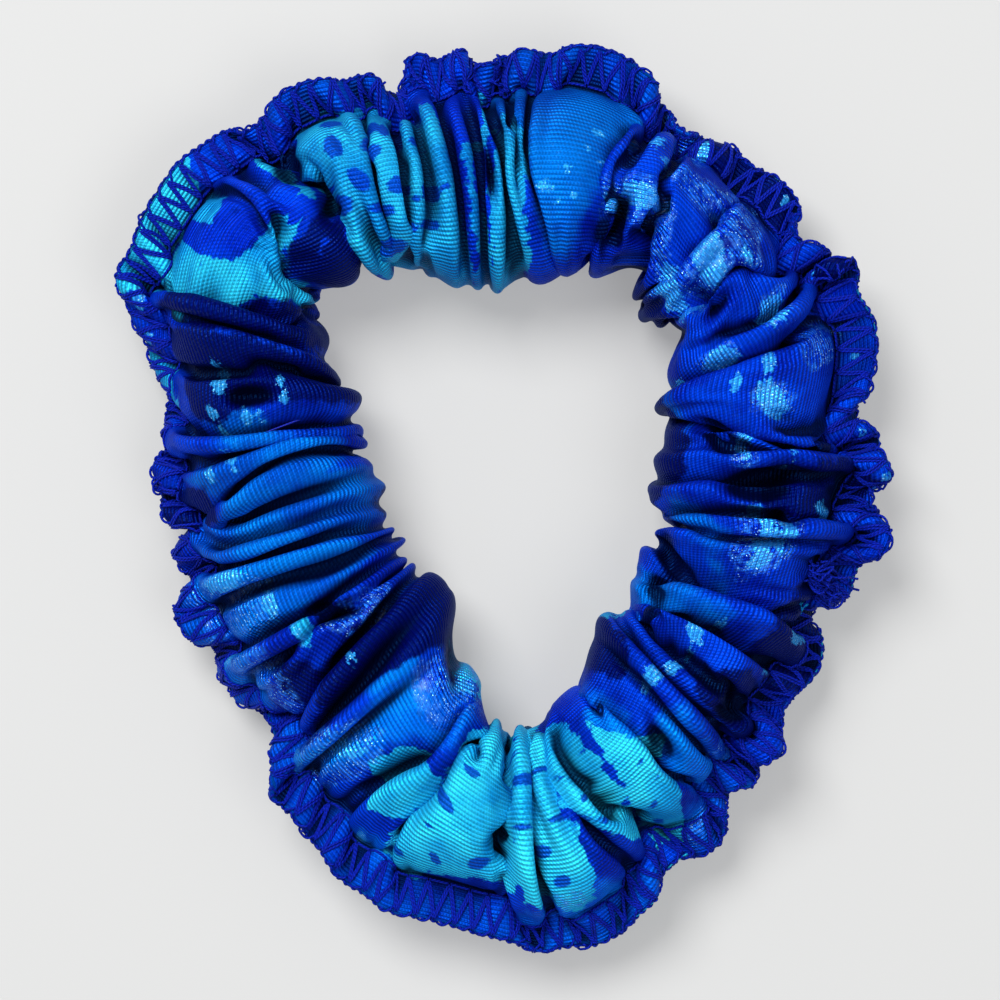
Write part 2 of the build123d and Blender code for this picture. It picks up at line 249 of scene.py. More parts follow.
SPOTS = {
    "light": spots("""
20 .52 2.3 1.5 -20, 14.5 .36 1.7 .7 -25, 25 .38 .8 .6, 26.5 .53 1.1 .9, 9 .58 .8 .5,
35.5 .6 1.3 1.7, 35 .27 1.2 2.2 20, 31 .2 .6 .4, 33 .06 .6 .5, 46.5 .13 .9 1.1 10,
53.3 .17 1.9 1.2 30, 70 .34 1.1 1.2, 65.5 .42 3.0 1.3 12, 50 .42 1.6 2.2 -20, 76 .71 .55 .45,
79.5 .5 .5 .4, 81 .4 .3 .3, 76.5 .38 .3 .3, 79 .35 .25 .25, 74.5 .57 .3 .3, 82.5 .42 .55 .6,
77 .62 .3 .3, 157 .62 1.5 .9 30, 163.5 .7 .8 .7, 166.5 .68 .5 .6, 162.5 .53 .9 .6 30,
161 .45 .6 .4, 167 .59 .5 .3, 172 .64 1.0 .7, 175.2 .75 .9 .5, 154.5 .32 .7 .4 20,
151 .34 .8 .4 30, 225 .485 1.5 .55, 203 .68 1.8 .8 10, 212 .58 1.4 .4, 236.5 .76 2.6 .5 -52,
309.2 .33 1.2 .9, 316 .36 1.3 .8 10, 324.8 .36 1.4 1.0, 335.5 .82 1.4 .8, 327 .78 .9 .4 20,
331 .5 .6 .5, 338 .48 .4 .3, 350.5 .49 1.6 1.3 -20, 356 .47 1.8 1.2 -10, 346.5 .52 1.4 1.0 30,
4 .98 .6 .6, 10 .93 .5 .5, 13.5 .9 .5 .7, 17.5 1.02 .5 .4, 23 .98 .7 .5, 28.5 .95 .6 .5,
33.5 .98 .7 .5, 37 .95 .6 .6, 40.7 .97 .5 .5, 35 .92 .5 .5, 47 .97 .5 .6, 49.5 1.03 .4 .4,
66.5 .68 .8 .5, 61 .8 1.2 .8 20, 46 .57 .5 .4, 150.5 1.0 .8 .7, 154.8 .91 .7 .5,
210.5 .9 .9 .5 20, 197 .8 1.2 1.8, 247 .9 .8 .5, 232 .88 1.1 .9, 254.5 .12 1.2 .5 -30,
258 .08 .9 .5 -30, 320 .36 .5 .3, 352 .57 1.6 .8 -15, 357.5 .8 .9 .6, 359.5 .77 .7 .8,
63.5 .62 .7 .4"""),
    "dark": spots("""
102.8 .62 .8 .6, 102.2 .4 1.1 1.2 20, 99.5 .43 .7 .5, 104.2 .25 .9 .6 -30, 107.5 .22 1.1 .6 -30,
108 .67 .8 1.2 10, 109.8 .7 1.1 .9, 114.5 .72 1.5 .7, 110.8 .57 1.3 1.1 -10, 115.4 .6 1.0 1.4,
114 .43 .8 1.6, 108.4 .4 1.6 1.0 -20, 112.4 .29 1.4 .8, 112.9 .12 1.6 1.0 -10,
117.7 .34 1.1 1.4, 105.5 .36 .8 .5, 118.2 .44 .8 .5, 138 .69 .5 .3, 143.5 .76 .35 .25,
145.2 .77 .4 .3, 142 .83 .25 .25, 140.3 .7 .5 .3 20, 259.5 .47 1.4 1.1, 266.5 .64 1.4 .9 -20,
258.8 .73 1.1 .7, 252.7 .84 .9 .4, 257.5 .36 1.0 .4 -30, 264.5 .26 .8 .7, 266 .17 .5 .3,
277.2 .57 1.0 1.0, 273.5 .43 .9 .4, 281 .43 1.7 .6 10, 285 .5 1.3 .5 20, 286.5 .42 1.0 .5 10,
289 .55 1.3 .5 15, 282.5 .28 .8 .4 20, 287.5 .25 .5 .3, 274.5 .23 1.4 .7, 273.2 .12 .6 .3,
278 .18 .7 .4, 279.3 .73 1.0 .9, 297 .64 .7 .4 20, 299.5 .57 .5 .3, 293 .35 .4 .3,
284.5 .3 .6 .3, 257 .63 1.0 .45, 124 .23 .8 .5, 126 .19 .5 .4, 298 .45 .6 .35 20,
301.5 .6 .5 .3 20, 296 .75 .6 .35"""),
}
# random blobs underneath, for every colour: how many, least and greatest half size in mm
SCATTER = {"cyan": (16, 4, 11), "teal": (16, 5, 12), "royal": (8, 2, 5), "navy": (8, 3, 9),
           "foil": (14, 2, 5), "light": (40, .4, 1.4), "dark": (40, .4, 1.4)}
# how bright the cyan and teal inks are: degrees, share of the brighter ink
BRIGHT = points("""
0 .5, 60 .4, 84 .25, 96 .1, 118 .3, 128 .6, 150 .7, 170 .4, 235 .7, 245 1, 290 1, 305 .8, 330 .5""")
# hollows between folds where the cloth dips deep and is also painted dark as shade
GAPS = spots("""
3.4 .47 1.9 5.2, 18 .2 1.5 3.6 44, 355.5 .58 2.6 1.5, 342.7 .07 1.5 2.6 42, 317 .7 2.6 2.4,
302.8 .55 1.4 3.6, 156 .45 1.6 4.4 -24, 213.6 .35 1.5 4.4 23, 123.5 .76 1.4 4.8 -28,
69 .25 1.6 4.4, 92.3 .45 1.0 5.0, 331 .15 1.3 2.2 20, 43 .3 1.3 3.2 -10""")


# ---------------------------------------------------------------- curves and blurs
def fourier(terms, degrees):
    angle = np.radians(degrees)
    radius = terms[0] + 0 * angle
    for k in range(5):
        radius = (radius + terms[1 + 2 * k] * np.cos((k + 1) * angle)
                  + terms[2 + 2 * k] * np.sin((k + 1) * angle))
    return radius


def wrap_table(table, degrees):
    """Value of a (degrees, value) table that runs on round the ring."""
    at, value = table[:, 0], table[:, 1]
    return np.interp(np.mod(degrees, 360), np.r_[at[-1] - 360, at, at[0] + 360],
                     np.r_[value[-1], value, value[0]])


def seam_share(degrees):
    """Share of the width where the tube ends, leaving 5.3 mm to the outline of the edge."""
    tip = sum(wrap_table(EDGE, degrees + o) for o in (-4, -2, 0, 2, 4)) / 5
    flat = np.clip(tip - 5.3 / (fourier(OUTER, degrees) - fourier(INNER, degrees)), .77, .9)
    side = wrap_table(SEAM, degrees)
    return np.maximum(flat, np.where(side > SEAM_SHARE, side, 0))


def gaussian(sigma):
    """Reach in samples and the weights of a blur."""
    reach = int(math.ceil(sigma * 3))
    weights = np.exp(-0.5 * (np.arange(-reach, reach + 1) / sigma) ** 2)
    return reach, weights / weights.sum()


def blur(values, sigma, axis):
    """Gaussian blur along a closed axis."""
    reach, weights = gaussian(sigma)
    return sum(w * np.roll(values, i, axis) for i, w in zip(range(-reach, reach + 1), weights))


def ring_points(radius, angle, z):
    return np.stack([radius * np.cos(angle), radius * np.sin(angle), z], -1)


def unit(vectors):
    return vectors / (np.linalg.norm(vectors, axis=-1, keepdims=True) + 1e-9)


def bulged(f):
    """Place along the pitch of a fold of cloth share f (0 to 1)."""
    return f - BULGE * np.sin(2 * np.pi * f) / (2 * np.pi)


def fold_arc(pitch, depth):
    """Length of cloth in one fold."""
    f = np.linspace(0, 1, 41)
    x = pitch[..., None] * bulged(f)
    y = depth[..., None] * (1 + np.cos(2 * np.pi * f)) / 2
    return np.sqrt(np.diff(x) ** 2 + np.diff(y) ** 2).sum(-1)


# ---------------------------------------------------------------- start shape
def following(creases):
    """Degrees of the next crease round the ring."""
    return np.vstack([creases[1:], creases[:1] + 360])


def fold_depths(pitch, length):
    """Depth of each fold at each row, by bisection, so that the same cloth fits."""
    low, high = np.zeros_like(pitch), np.full_like(pitch, 9.0)
    for _ in range(24):
        depth = (low + high) / 2
        too_long = fold_arc(pitch, depth) > length
        high = np.where(too_long, depth, high)
        low = np.where(too_long, low, depth)
    return depth


def sewn_edge(radius, degrees):
    """Start shape of the sewn edge, scalloped between its pinches, and the degrees of its tip."""
    angle = np.radians(degrees)
    reach, weights = gaussian(7.0)
    around = np.r_[angle[-reach:] - 2 * np.pi, angle, angle[:reach] + 2 * np.pi]
    tip_angle = sum(w * around[i:i + len(angle)] for i, w in enumerate(weights))
    tip_degrees = np.degrees(tip_angle)
    inner = fourier(INNER, tip_degrees)
    tip_radius = inner + wrap_table(EDGE, tip_degrees) * (fourier(OUTER, tip_degrees) - inner)
    tip_radius = blur(tip_radius, 1.0, 0)
    pinches, heights = np.r_[PINCHES[:, 0], PINCHES[0, 0] + 360], PINCHES[:, 1]
    place = np.where(tip_degrees < pinches[0], tip_degrees + 360, tip_degrees)
    k = np.clip(np.searchsorted(pinches, place, side="right") - 1, 0, len(heights) - 1)
    across = (place - pinches[k]) / (pinches[k + 1] - pinches[k])
    lift = heights[k] * np.sin(np.pi * np.clip(across, 0, 1))
    droop = wrap_table(DROOP, tip_degrees)
    rows = []
    for j in range(1, EDGE_ROWS + 1):
        s = j / EDGE_ROWS
        rows.append(ring_points(radius + (tip_radius - radius) * s,
                                angle * (1 - s) + tip_angle * s, MID_Z + (lift + droop) * s))
    return np.stack(rows, 1), tip_degrees


def author():
    """Start shape of the cloth, with its folds in place, and the flat sizes of the strip."""
    rng = np.random.default_rng(11)
    crease_degrees, crease_strength = CREASES[:, :4], CREASES[:, 4:]
    count = len(CREASES)

    def noise(sigma):
        return blur(rng.normal(size=(count, ROWS)), sigma, 1)

    phi = 2 * np.pi * np.arange(ROWS) / ROWS            # round the tube from the seam, over the top
    row_share = SEAM_SHARE * (1 + np.cos(phi)) / 2
    q = row_share / SEAM_SHARE                          # 0 at the inner line, 1 at the seam
    top = phi <= np.pi + 1e-6
    out = seam_share(crease_degrees[:, 3]) / SEAM_SHARE

    def along_creases(values, shares):
        return np.array([np.interp(shares * out[k], CREASE_STATIONS, values[k])
                         for k in range(count)])

    crease = along_creases(crease_degrees, row_share)
    strength = along_creases(crease_strength, row_share)
    # underneath, each crease runs plainly from the inner line to the seam
    seam_degrees = along_creases(crease_degrees, SEAM_SHARE)
    wander = noise(5) * 2.2
    under = (crease_degrees[:, :1] * (1 - q) + seam_degrees[:, None] * q
             + wander * (q * (1 - q) * 4))
    loose = wrap_table(WANDER, crease_degrees[:, 1])[:, None]
    crease = np.where(top[None], crease + noise(2.6) * loose * np.sin(np.pi * q), under)
    strength = np.where(top[None], strength, 0.75)
    fade = noise(2.4)
    strength = strength * np.clip(1 - .55 * np.clip(fade / fade.std() - .25, 0, 1.6), .1, 1)
    crease = blur(crease, 1.6, 1)
    strength = blur(strength, 1.6, 1)
    # keep the creases in order
    for _ in range(40):
        push = np.clip(1.3 - (following(crease) - crease), 0, None) / 2
        crease = crease - push + np.roll(push, 1, 0)
    spacing = following(crease) - crease
    inner, outer = fourier(INNER, crease), fourier(OUTER, crease)
    pitch = np.radians(spacing) * (inner + row_share[None] * (outer - inner))
    seam_gaps = np.diff(np.r_[seam_degrees, seam_degrees[0] + 360])
    edge_pitch = np.radians(seam_gaps) * fourier(OUTER, seam_degrees)
    slack = wrap_table(SLACK, crease_degrees[:, 2])
    width = (np.maximum(pitch.max(1) * 1.02, edge_pitch * 1.04)
             + slack * (.7 + 1.9 * np.minimum(1, pitch.max(1) / 4.5)))
    close = GATHER + (1 - GATHER) * q                   # gathered closer at the inner rows
    total = width.sum()
    # an even number of columns per fold
    columns = 2 * np.maximum(3, np.round(width / COLUMN_STEP / 2)).astype(int)
    depth = fold_depths(pitch, width[:, None] * close[None])
    depth = (depth + np.roll(depth, 1, 0)) / 2
    from_pinch = seam_degrees[:, None] - PINCHES[:, 0][None]
    near = np.abs((from_pinch + 180) % 360 - 180).min(1)
    pinch = np.exp(-(near / 2.2) ** 2)                  # 1 where a crease runs on into a pinch
    at_seam = np.clip((q - .72) / .28, 0, 1)[None]
    strength = strength * (1 - at_seam * (1 - (.4 + .6 * pinch[:, None])))
    at_inner = np.clip(1 - q / .25, 0, 1)[None]
    uneven = noise(4)
    uneven = 1 + .4 * uneven / uneven.std()
    depth = (np.clip(depth * np.clip(uneven, .3, 1.6), 0.3, 5.2) * (0.25 + 0.75 * strength)
             * (1 - .15 * at_inner))

    # one column of cloth after another
    fold = np.repeat(np.arange(count), columns)
    after = (fold + 1) % count
    step = np.concatenate([np.arange(c) for c in columns])
    f = step / columns[fold]
    start = np.r_[0, np.cumsum(width)[:-1]]
    along = start[fold] + width[fold] * step / columns[fold]
    degrees = crease[fold] + spacing[fold] * bulged(f)[:, None]
    y = (np.where((f < 0.5)[:, None], depth[fold], depth[after])
         * ((1 + np.cos(2 * np.pi * f)) / 2)[:, None])
    crest = noise(4.5) * 4.2
    y = y + crest[fold] * (np.sin(np.pi * f) ** 2)[:, None]
    # most folds lie over clockwise on the +X half and anticlockwise on the other
    side = np.where(np.cos(np.radians(crease_degrees[:, 1])) > 0, -1.0, 1.0)
    lean = side[:, None] * 1.5 + noise(7) * 6.0
    lean_mm = (lean[fold] * (1 - f)[:, None] + lean[after] * f[:, None]) * (y / 3.0)
    inner = fourier(INNER, degrees)
    wide = fourier(OUTER, degrees) - inner
    inner_line = inner + (np.minimum(wrap_table(LOBES, degrees), .13) * .85 - .022) * wide
    seam = seam_share(degrees)
    seam_line = inner + seam * wide
    half = (seam_line - inner_line) / 2
    middle = (seam_line + inner_line) / 2
    cos, sin = np.cos(phi)[None], np.sin(phi)[None]
    radius = middle + half * (np.sign(cos) * np.abs(cos) ** 0.92) - y * cos
    z = MID_Z + HALF_HEIGHT * (np.sign(sin) * np.abs(sin) ** 0.88) - y * sin
    tube = ring_points(radius, np.radians(degrees) + lean_mm / radius, z)

    at_edge, seam_at_edge = degrees[:, :1], seam[:, :1]
    edge, tip_degrees = sewn_edge(radius[:, 0], degrees[:, 0])
    tip_degrees = tip_degrees[:, None]
    s = (np.arange(1, EDGE_ROWS + 1) / EDGE_ROWS)[None]
    tip_share = np.maximum(wrap_table(EDGE, tip_degrees), seam_at_edge + .08)
    tip_length = np.linalg.norm(np.roll(edge[:, -1], -1, 0) - edge[:, -1], axis=1).sum()
    return SimpleNamespace(
        tube=tube, edge=edge, phi=phi, total=total, close=close, along=along,
        column_step=np.repeat(width / columns, columns),
        short=min(1.0, 1.1 * tip_length / total),       # the sewing draws the edge in
        share=np.concatenate([seam * row_share[None] / SEAM_SHARE,
                              seam_at_edge + (tip_share - seam_at_edge) * s], 1),
        degrees=np.concatenate([degrees, at_edge * (1 - s) + tip_degrees * s], 1))


# ---------------------------------------------------------------- cloth solver
def correction(start, end, rest, stiffness, push_only):
    """What takes start towards its rest distance from end."""
    between = end - start
    distance = np.sqrt((between * between).sum(-1, keepdims=True)) + 1e-9
    excess = distance - rest
    if push_only:
        excess = np.minimum(excess, 0)
    return between * (stiffness * excess / distance)


def link(cloth, first, second, rest, stiffness, push_only=False):
    """Links the points (columns, rows) on from each point of a cloth closed both ways."""
    def shifted(grid, by, sign):
        return np.roll(grid, (sign * by[0], sign * by[1]), (0, 1))

    move = correction(shifted(cloth, first, -1), shifted(cloth, second, -1),
                      rest, stiffness, push_only)
    cloth += shifted(move, first, 1) - shifted(move, second, 1)


def link_rows(cloth, rest, stiffness, rows=1, columns=(0, 0), push_only=False):
    """Links rows of an open band, each end shifted by its number of columns."""
    near, far = cloth[:, :-rows], cloth[:, rows:]
    move = correction(np.roll(near, -columns[0], 0), np.roll(far, -columns[1], 0),
                      rest, stiffness, push_only)
    near += np.roll(move, columns[0], 0)
    far -= np.roll(move, columns[1], 0)


def near_pairs(cloth, column, row, column_count):
    """Pairs of points of different parts of the cloth that are nearer than PAIR_REACH."""
    low = cloth.min(0) - PAIR_REACH
    cell = ((cloth - low) / PAIR_REACH).astype(np.int64) + 1
    nx, ny, nz = cell.max(0) + 2
    key = (cell[:, 0] * ny + cell[:, 1]) * nz + cell[:, 2]
    order = np.argsort(key, kind="stable")
    first_in = np.searchsorted(key[order], np.arange(nx * ny * nz + 1))
    ids = np.arange(len(cloth))
    found_a, found_b = [], []
    for dx, dy in ((0, 0), (0, 1), (1, -1), (1, 0), (1, 1)):
        base = ((cell[:, 0] + dx) * ny + (cell[:, 1] + dy)) * nz + cell[:, 2]
        start, end = first_in[base - 1], first_in[base + 2]
        n = end - start
        a = np.repeat(ids, n)
        offset = np.arange(n.sum()) - np.repeat(np.cumsum(n) - n, n)
        b = order[np.repeat(start, n) + offset]
        if dx == 0 and dy == 0:
            keep = a < b
            a, b = a[keep], b[keep]
        between = cloth[a] - cloth[b]
        keep = (between * between).sum(1) < PAIR_REACH * PAIR_REACH
        a, b = a[keep], b[keep]
        columns_apart = np.abs(column[a] - column[b])
        columns_apart = np.minimum(columns_apart, column_count - columns_apart)
        both_tube = (row[a] < ROWS) & (row[b] < ROWS)
        both_edge = (row[a] >= ROWS) & (row[b] >= ROWS)
        rows_apart = np.abs(row[a] - row[b])
        rows_apart = np.where(both_tube, np.minimum(rows_apart, ROWS - rows_apart), rows_apart)
        # between the tube and the sewn edge, rows are counted from the seam line
        from_seam = np.where(row >= ROWS, row - ROWS + 1, np.minimum(row, ROWS - row))
        rows_apart = np.where(both_tube | both_edge, rows_apart, from_seam[a] + from_seam[b])
        keep = (columns_apart > 2) | (rows_apart > 2)
        found_a.append(a[keep])
        found_b.append(b[keep])
    return np.concatenate(found_a), np.concatenate(found_b)


def part_pairs(cloth, a, b):
    """The cloth doesn't pass through itself."""
    between = cloth[b] - cloth[a]
    distance = np.sqrt((between * between).sum(1)) + 1e-6
    hit = distance < CLOTH_GAP
    a, b = a[hit], b[hit]
    push = 0.36 * (distance[hit] - CLOTH_GAP) / distance[hit]
    move = between[hit] * push[:, None]
    count = len(cloth)
    for axis in range(3):
        cloth[:, axis] += (np.bincount(a, move[:, axis], count)
                           - np.bincount(b, move[:, axis], count)).astype(np.float32)


def leave_elastic(cloth, elastic_radius):
    """The cloth doesn't pass through the elastic inside it."""
    degrees = np.degrees(np.arctan2(cloth[:, 1], cloth[:, 0])) % 360
    centre = np.interp(degrees, np.arange(361), elastic_radius)
    radius = np.hypot(cloth[:, 0], cloth[:, 1])
    qx = (radius - centre) / ELASTIC_HALF_WIDTH
    qz = (cloth[:, 2] - ELASTIC_Z) / ELASTIC_HALF_HEIGHT
    square = qx * qx + qz * qz
    inside = square < 1
    out = 1 / np.sqrt(square[inside] + 1e-6)
    new_radius = centre[inside] + qx[inside] * out * ELASTIC_HALF_WIDTH
    new_z = ELASTIC_Z + qz[inside] * out * ELASTIC_HALF_HEIGHT
    share = 0.5                                         # of the way out, each pass
    cloth[inside, :2] *= (1 + share * (new_radius / radius[inside] - 1))[:, None]
    cloth[inside, 2] += share * (new_z - cloth[inside, 2])


def shape_folds(tube, phi):
    """Deepens the folds, rounds off their inner ends and limits their height."""
    # fades out at the seam and on the underside, and where the ring turns tightly
    weight = (DEEPEN * np.clip(np.sin(phi) * 1.4 + .45, .25, 1)
              * np.clip((1 - np.cos(phi)) * 2.2, 0, 1) * (1 - .6 * ((1 - np.cos(phi)) / 2) ** 3))
    mean = blur(tube, 4.5, 0)
    tight = np.clip((np.hypot(tube[..., 0], tube[..., 1]) - 14) / 12, .15, 1)
    tube = tube + (tube - mean) * (weight[None, :] * tight)[..., None].astype(np.float32)
    soft = np.clip((24 - np.hypot(tube[..., 0], tube[..., 1])) / 8, 0, 1)
    soft = soft[..., None].astype(np.float32)
    at_inner = .75 * np.exp(-((phi - np.pi) / .6) ** 2)[None, :, None]
    soft = np.maximum(.85 * soft, at_inner).astype(np.float32)
    tube = tube + (blur(blur(tube, 1.3, 0), 1.0, 1) - tube) * soft
    tube[..., 2] = np.maximum(tube[..., 2], .3)
    high, room = 17.4, 2.0
    z = tube[..., 2]
    tube[..., 2] = np.where(z > high, high + room * np.tanh((z - high) / room), z)
    return tube


def settle(strip, elastic_radius, steps):
    """Relaxes the gathered strip; returns its tube and its sewn edge."""
    tube, edge = strip.tube.astype(np.float32), strip.edge.astype(np.float32)
    tube_start, edge_start = tube.copy(), edge.copy()
    count = tube.shape[0]
    # rest lengths
    along = strip.column_step.astype(np.float32)[:, None, None]
    along_two = along + np.roll(along, -1, 0)
    close = strip.close.astype(np.float32)[None, :, None]
    tube_along, tube_two = along * close, along_two * close
    around = np.float32(TUBE_ROUND / ROWS)
    tube_diagonal = np.sqrt(tube_along * tube_along + around ** 2)
    across = np.float32(EDGE_WIDTH / EDGE_ROWS)
    short = np.float32(strip.short)
    draw = np.r_[(1 + short) / 2, np.full(EDGE_ROWS, short)].astype(np.float32)[None, :, None]
    edge_along = along * draw
    edge_diagonal = np.sqrt(edge_along[:, 1:] ** 2 + across * across)

    column = np.repeat(np.arange(count), ROWS + EDGE_ROWS)
    row = np.tile(np.arange(ROWS + EDGE_ROWS), count)
    here = (0, 0)
    for step in range(steps):
        hold = 0.05 * (1 - step / steps) + 0.03         # pull back to the start shape
        cloth = np.concatenate([tube, edge], 1).reshape(-1, 3)
        a, b = near_pairs(cloth, column, row, count)
        for _ in range(PASSES):
            tube += hold * 0.5 * (tube_start - tube)
            edge += hold * 0.3 * (edge_start - edge)
            link(tube, here, (1, 0), rest=tube_along, stiffness=0.32)
            link(tube, here, (0, 1), rest=around, stiffness=0.3)
            # shear
            link(tube, here, (1, 1), rest=tube_diagonal, stiffness=0.05)
            link(tube, (1, 0), (0, 1), rest=tube_diagonal, stiffness=0.05)
            # bending: keeps a fold from closing to a knife edge
            link(tube, here, (2, 0), rest=tube_two * 0.86, stiffness=0.16, push_only=True)
            link(tube, here, (3, 0), rest=tube_along * 2.2, stiffness=0.06, push_only=True)
            link(tube, here, (0, 2), rest=around * 1.9, stiffness=0.2, push_only=True)
            link(tube, here, (0, 4), rest=around * 3.5, stiffness=0.12, push_only=True)
            # sewn edge: two layers and thread, so stiffer
            band = np.concatenate([tube[:, :1], edge], 1)
            link(band, here, (1, 0), rest=edge_along, stiffness=0.3)
            link_rows(band, rest=across, stiffness=0.35)
            link_rows(band, rest=edge_diagonal, stiffness=0.1, columns=(0, 1))
            link_rows(band, rest=edge_diagonal, stiffness=0.1, columns=(1, 0))
            link(band, here, (2, 0), rest=along_two * draw * 0.95, stiffness=0.22,
                 push_only=True)
            link(band, here, (4, 0), rest=edge_along * 3.7, stiffness=0.14, push_only=True)
            link_rows(band, rest=across * 1.97, stiffness=0.3, rows=2, push_only=True)
            tube[:, :1] = band[:, :1]
            cloth = np.concatenate([tube, band[:, 1:]], 1).reshape(-1, 3)
            part_pairs(cloth, a, b)
            leave_elastic(cloth, elastic_radius)
            cloth[:, 2] = np.maximum(cloth[:, 2], 0.3)
            cloth = cloth.reshape(count, ROWS + EDGE_ROWS, 3)
            tube = np.ascontiguousarray(cloth[:, :ROWS])
            edge = np.ascontiguousarray(cloth[:, ROWS:])
    return shape_folds(tube, strip.phi), edge


# ---------------------------------------------------------------- pattern on the cloth
def random_blobs(rng, count, low, high):
    """Ellipses scattered over the underside."""
    return [(rng.uniform(0, 360), -rng.uniform(.12, 1.0), rng.uniform(low, high),
             rng.uniform(low, high) * .8, rng.uniform(-60, 60)) for _ in range(count)]


def to_mm(degrees, share, centre_degrees, centre_share):
    """Local plane coordinates in mm near a centre."""
    inner = fourier(INNER, centre_degrees)
    width = fourier(OUTER, centre_degrees) - inner
    radius = inner + abs(centre_share) * width
    turn = (degrees - centre_degrees + 180) % 360 - 180
    return np.radians(turn) * radius, (share - centre_share) * width


def ellipses(degrees, share, items):
    """About the distance in mm, positive inside, to the union of ellipses."""
    out = np.full(degrees.shape, -9.0)
    for centre_degrees, centre_share, half_x, half_y, turn in items:
        x, y = to_mm(degrees, share, centre_degrees, centre_share)
        cos, sin = math.cos(math.radians(turn)), math.sin(math.radians(turn))
        along, across = x * cos + y * sin, -x * sin + y * cos
        inside = 1 - np.sqrt((along / half_x) ** 2 + (across / half_y) ** 2)
        out = np.maximum(out, inside * min(half_x, half_y))
    return out


def polygons(degrees, share, outlines):
    """Signed distance in mm, positive inside, to the union of polygons."""
    out = np.full(degrees.shape, -9.0)
    for outline in outlines:
        centre = sum(outline[:, 0]) / len(outline), sum(outline[:, 1]) / len(outline)
        x, y = to_mm(degrees, share, *centre)
        corners = np.stack(to_mm(outline[:, 0], outline[:, 1], *centre), 1)
        nearest = np.full(degrees.shape, 1e9)
        inside = np.zeros(degrees.shape, bool)
        for (x0, y0), (x1, y1) in zip(corners, np.roll(corners, -1, 0)):
            ex, ey = x1 - x0, y1 - y0
            wx, wy = x - x0, y - y0
            h = np.clip((wx * ex + wy * ey) / (ex * ex + ey * ey + 1e-9), 0, 1)
            nearest = np.minimum(nearest, (wx - ex * h) ** 2 + (wy - ey * h) ** 2)
            inside ^= ((y0 > y) != (y1 > y)) & (x < ex * (y - y0) / (ey + 1e-12) + x0)
        out = np.maximum(out, np.sqrt(nearest) * np.where(inside, 1, -1))
    return np.clip(out, -9, 9)


# ---------------------------------------------------------------- grids and meshes
def interleave(grid, middles, axis):
    shape = list(grid.shape)
    shape[axis] *= 2
    return np.stack([grid, middles], axis + 1).reshape(shape)


def double_smooth(grid, axis):
    """Twice as many samples along a closed axis, on a smooth curve."""
    def ahead(k):
        return np.roll(grid, -k, axis)

    return interleave(grid, (9 * (grid + ahead(1)) - ahead(-1) - ahead(2)) / 16, axis)


def double_plain(grid, turn=0.0):
    """Twice as many samples both ways; turn is what one turn of the ring adds."""
    ahead = np.roll(grid, -1, 0)
    ahead[-1] += turn
    grid = interleave(grid, (grid + ahead) / 2, 0)
    return interleave(grid, (grid + np.roll(grid, -1, 1)) / 2, 1)


def grid_normals(grid, closed_rows):
    along = np.roll(grid, -1, 0) - np.roll(grid, 1, 0)
    if closed_rows:
        across = np.roll(grid, -1, 1) - np.roll(grid, 1, 1)
    else:
        across = np.gradient(grid, axis=1)
    return unit(np.cross(along, across))


def grid_faces(along, around, closed=True):
    """Quads of a grid that is closed around, and along too if asked."""
    i, j = np.meshgrid(np.arange(along if closed else along - 1), np.arange(around),
                       indexing="ij")
    next_i, next_j = (i + 1) % along, (j + 1) % around
    return np.stack([i * around + j, i * around + next_j, next_i * around + next_j,
                     next_i * around + j], -1).reshape(-1, 4)


def new_mesh(name, points_mm, quads):
    """Smooth mesh object; a quad that repeats its last corner becomes a triangle."""
    mesh = bpy.data.meshes.new(name)
    mesh.vertices.add(len(points_mm))
    mesh.vertices.foreach_set("co", (points_mm * .001).astype(np.float32).ravel())
    triangle = quads[:, 2] == quads[:, 3]
    total = np.where(triangle, 3, 4)
    keep = np.ones(quads.shape, bool)
    keep[triangle, 3] = False
    loops = quads[keep]
    mesh.loops.add(len(loops))
    mesh.loops.foreach_set("vertex_index", loops.astype(np.int32))
    mesh.polygons.add(len(quads))
    mesh.polygons.foreach_set("loop_start", (np.cumsum(total) - total).astype(np.int32))
    mesh.polygons.foreach_set("loop_total", total.astype(np.int32))
    mesh.update(calc_edges=True)
    mesh.validate()
    mesh.polygons.foreach_set("use_smooth", np.ones(len(quads), bool))
    return link_object(name, mesh)


def link_object(name, data):
    thing = bpy.data.objects.new(name, data)
    bpy.context.scene.collection.objects.link(thing)
    return thing


def put(thing, name, values, kind="FLOAT"):
    key = {"FLOAT": "value", "FLOAT_VECTOR": "vector"}[kind]
    attribute = thing.data.attributes.new(name, kind, "POINT")
    attribute.data.foreach_set(key, np.asarray(values, np.float32).ravel())


# ---------------------------------------------------------------- cover
def cover_rows(strip, tube, band, normals):
    """Closed section of the cover: upper face of the edge, tube, lower face, tip."""
    rows = []

    def add(place, row, side, y):
        rows.append((place, side * strip.share[:, row], strip.degrees[:, row],
                     np.full(len(place), y)))

    for j in range(EDGE_ROWS, 0, -1):
        add(band[:, j] + normals[:, j] * EDGE_HALF, ROWS + j - 1, 1, -EDGE_WIDTH * j / EDGE_ROWS)
    add(tube[:, 0] + normals[:, 0] * EDGE_HALF * .9, 0, 1, 0.0)
    for j in range(1, ROWS):
        add(tube[:, j], j, 1 if j <= ROWS // 2 else -1, TUBE_ROUND / ROWS * j)
    add(tube[:, 0] - normals[:, 0] * EDGE_HALF * .9, 0, -1, TUBE_ROUND)
    for j in range(1, EDGE_ROWS + 1):
        add(band[:, j] - normals[:, j] * EDGE_HALF, ROWS + j - 1, -1,
            TUBE_ROUND + EDGE_WIDTH * j / EDGE_ROWS)
    add(band[:, -1] + unit(band[:, -1] - band[:, -2]) * 0.35, -1, -1, TUBE_ROUND + 5.9)
    return [np.stack(columns, 1) for columns in zip(*rows)]


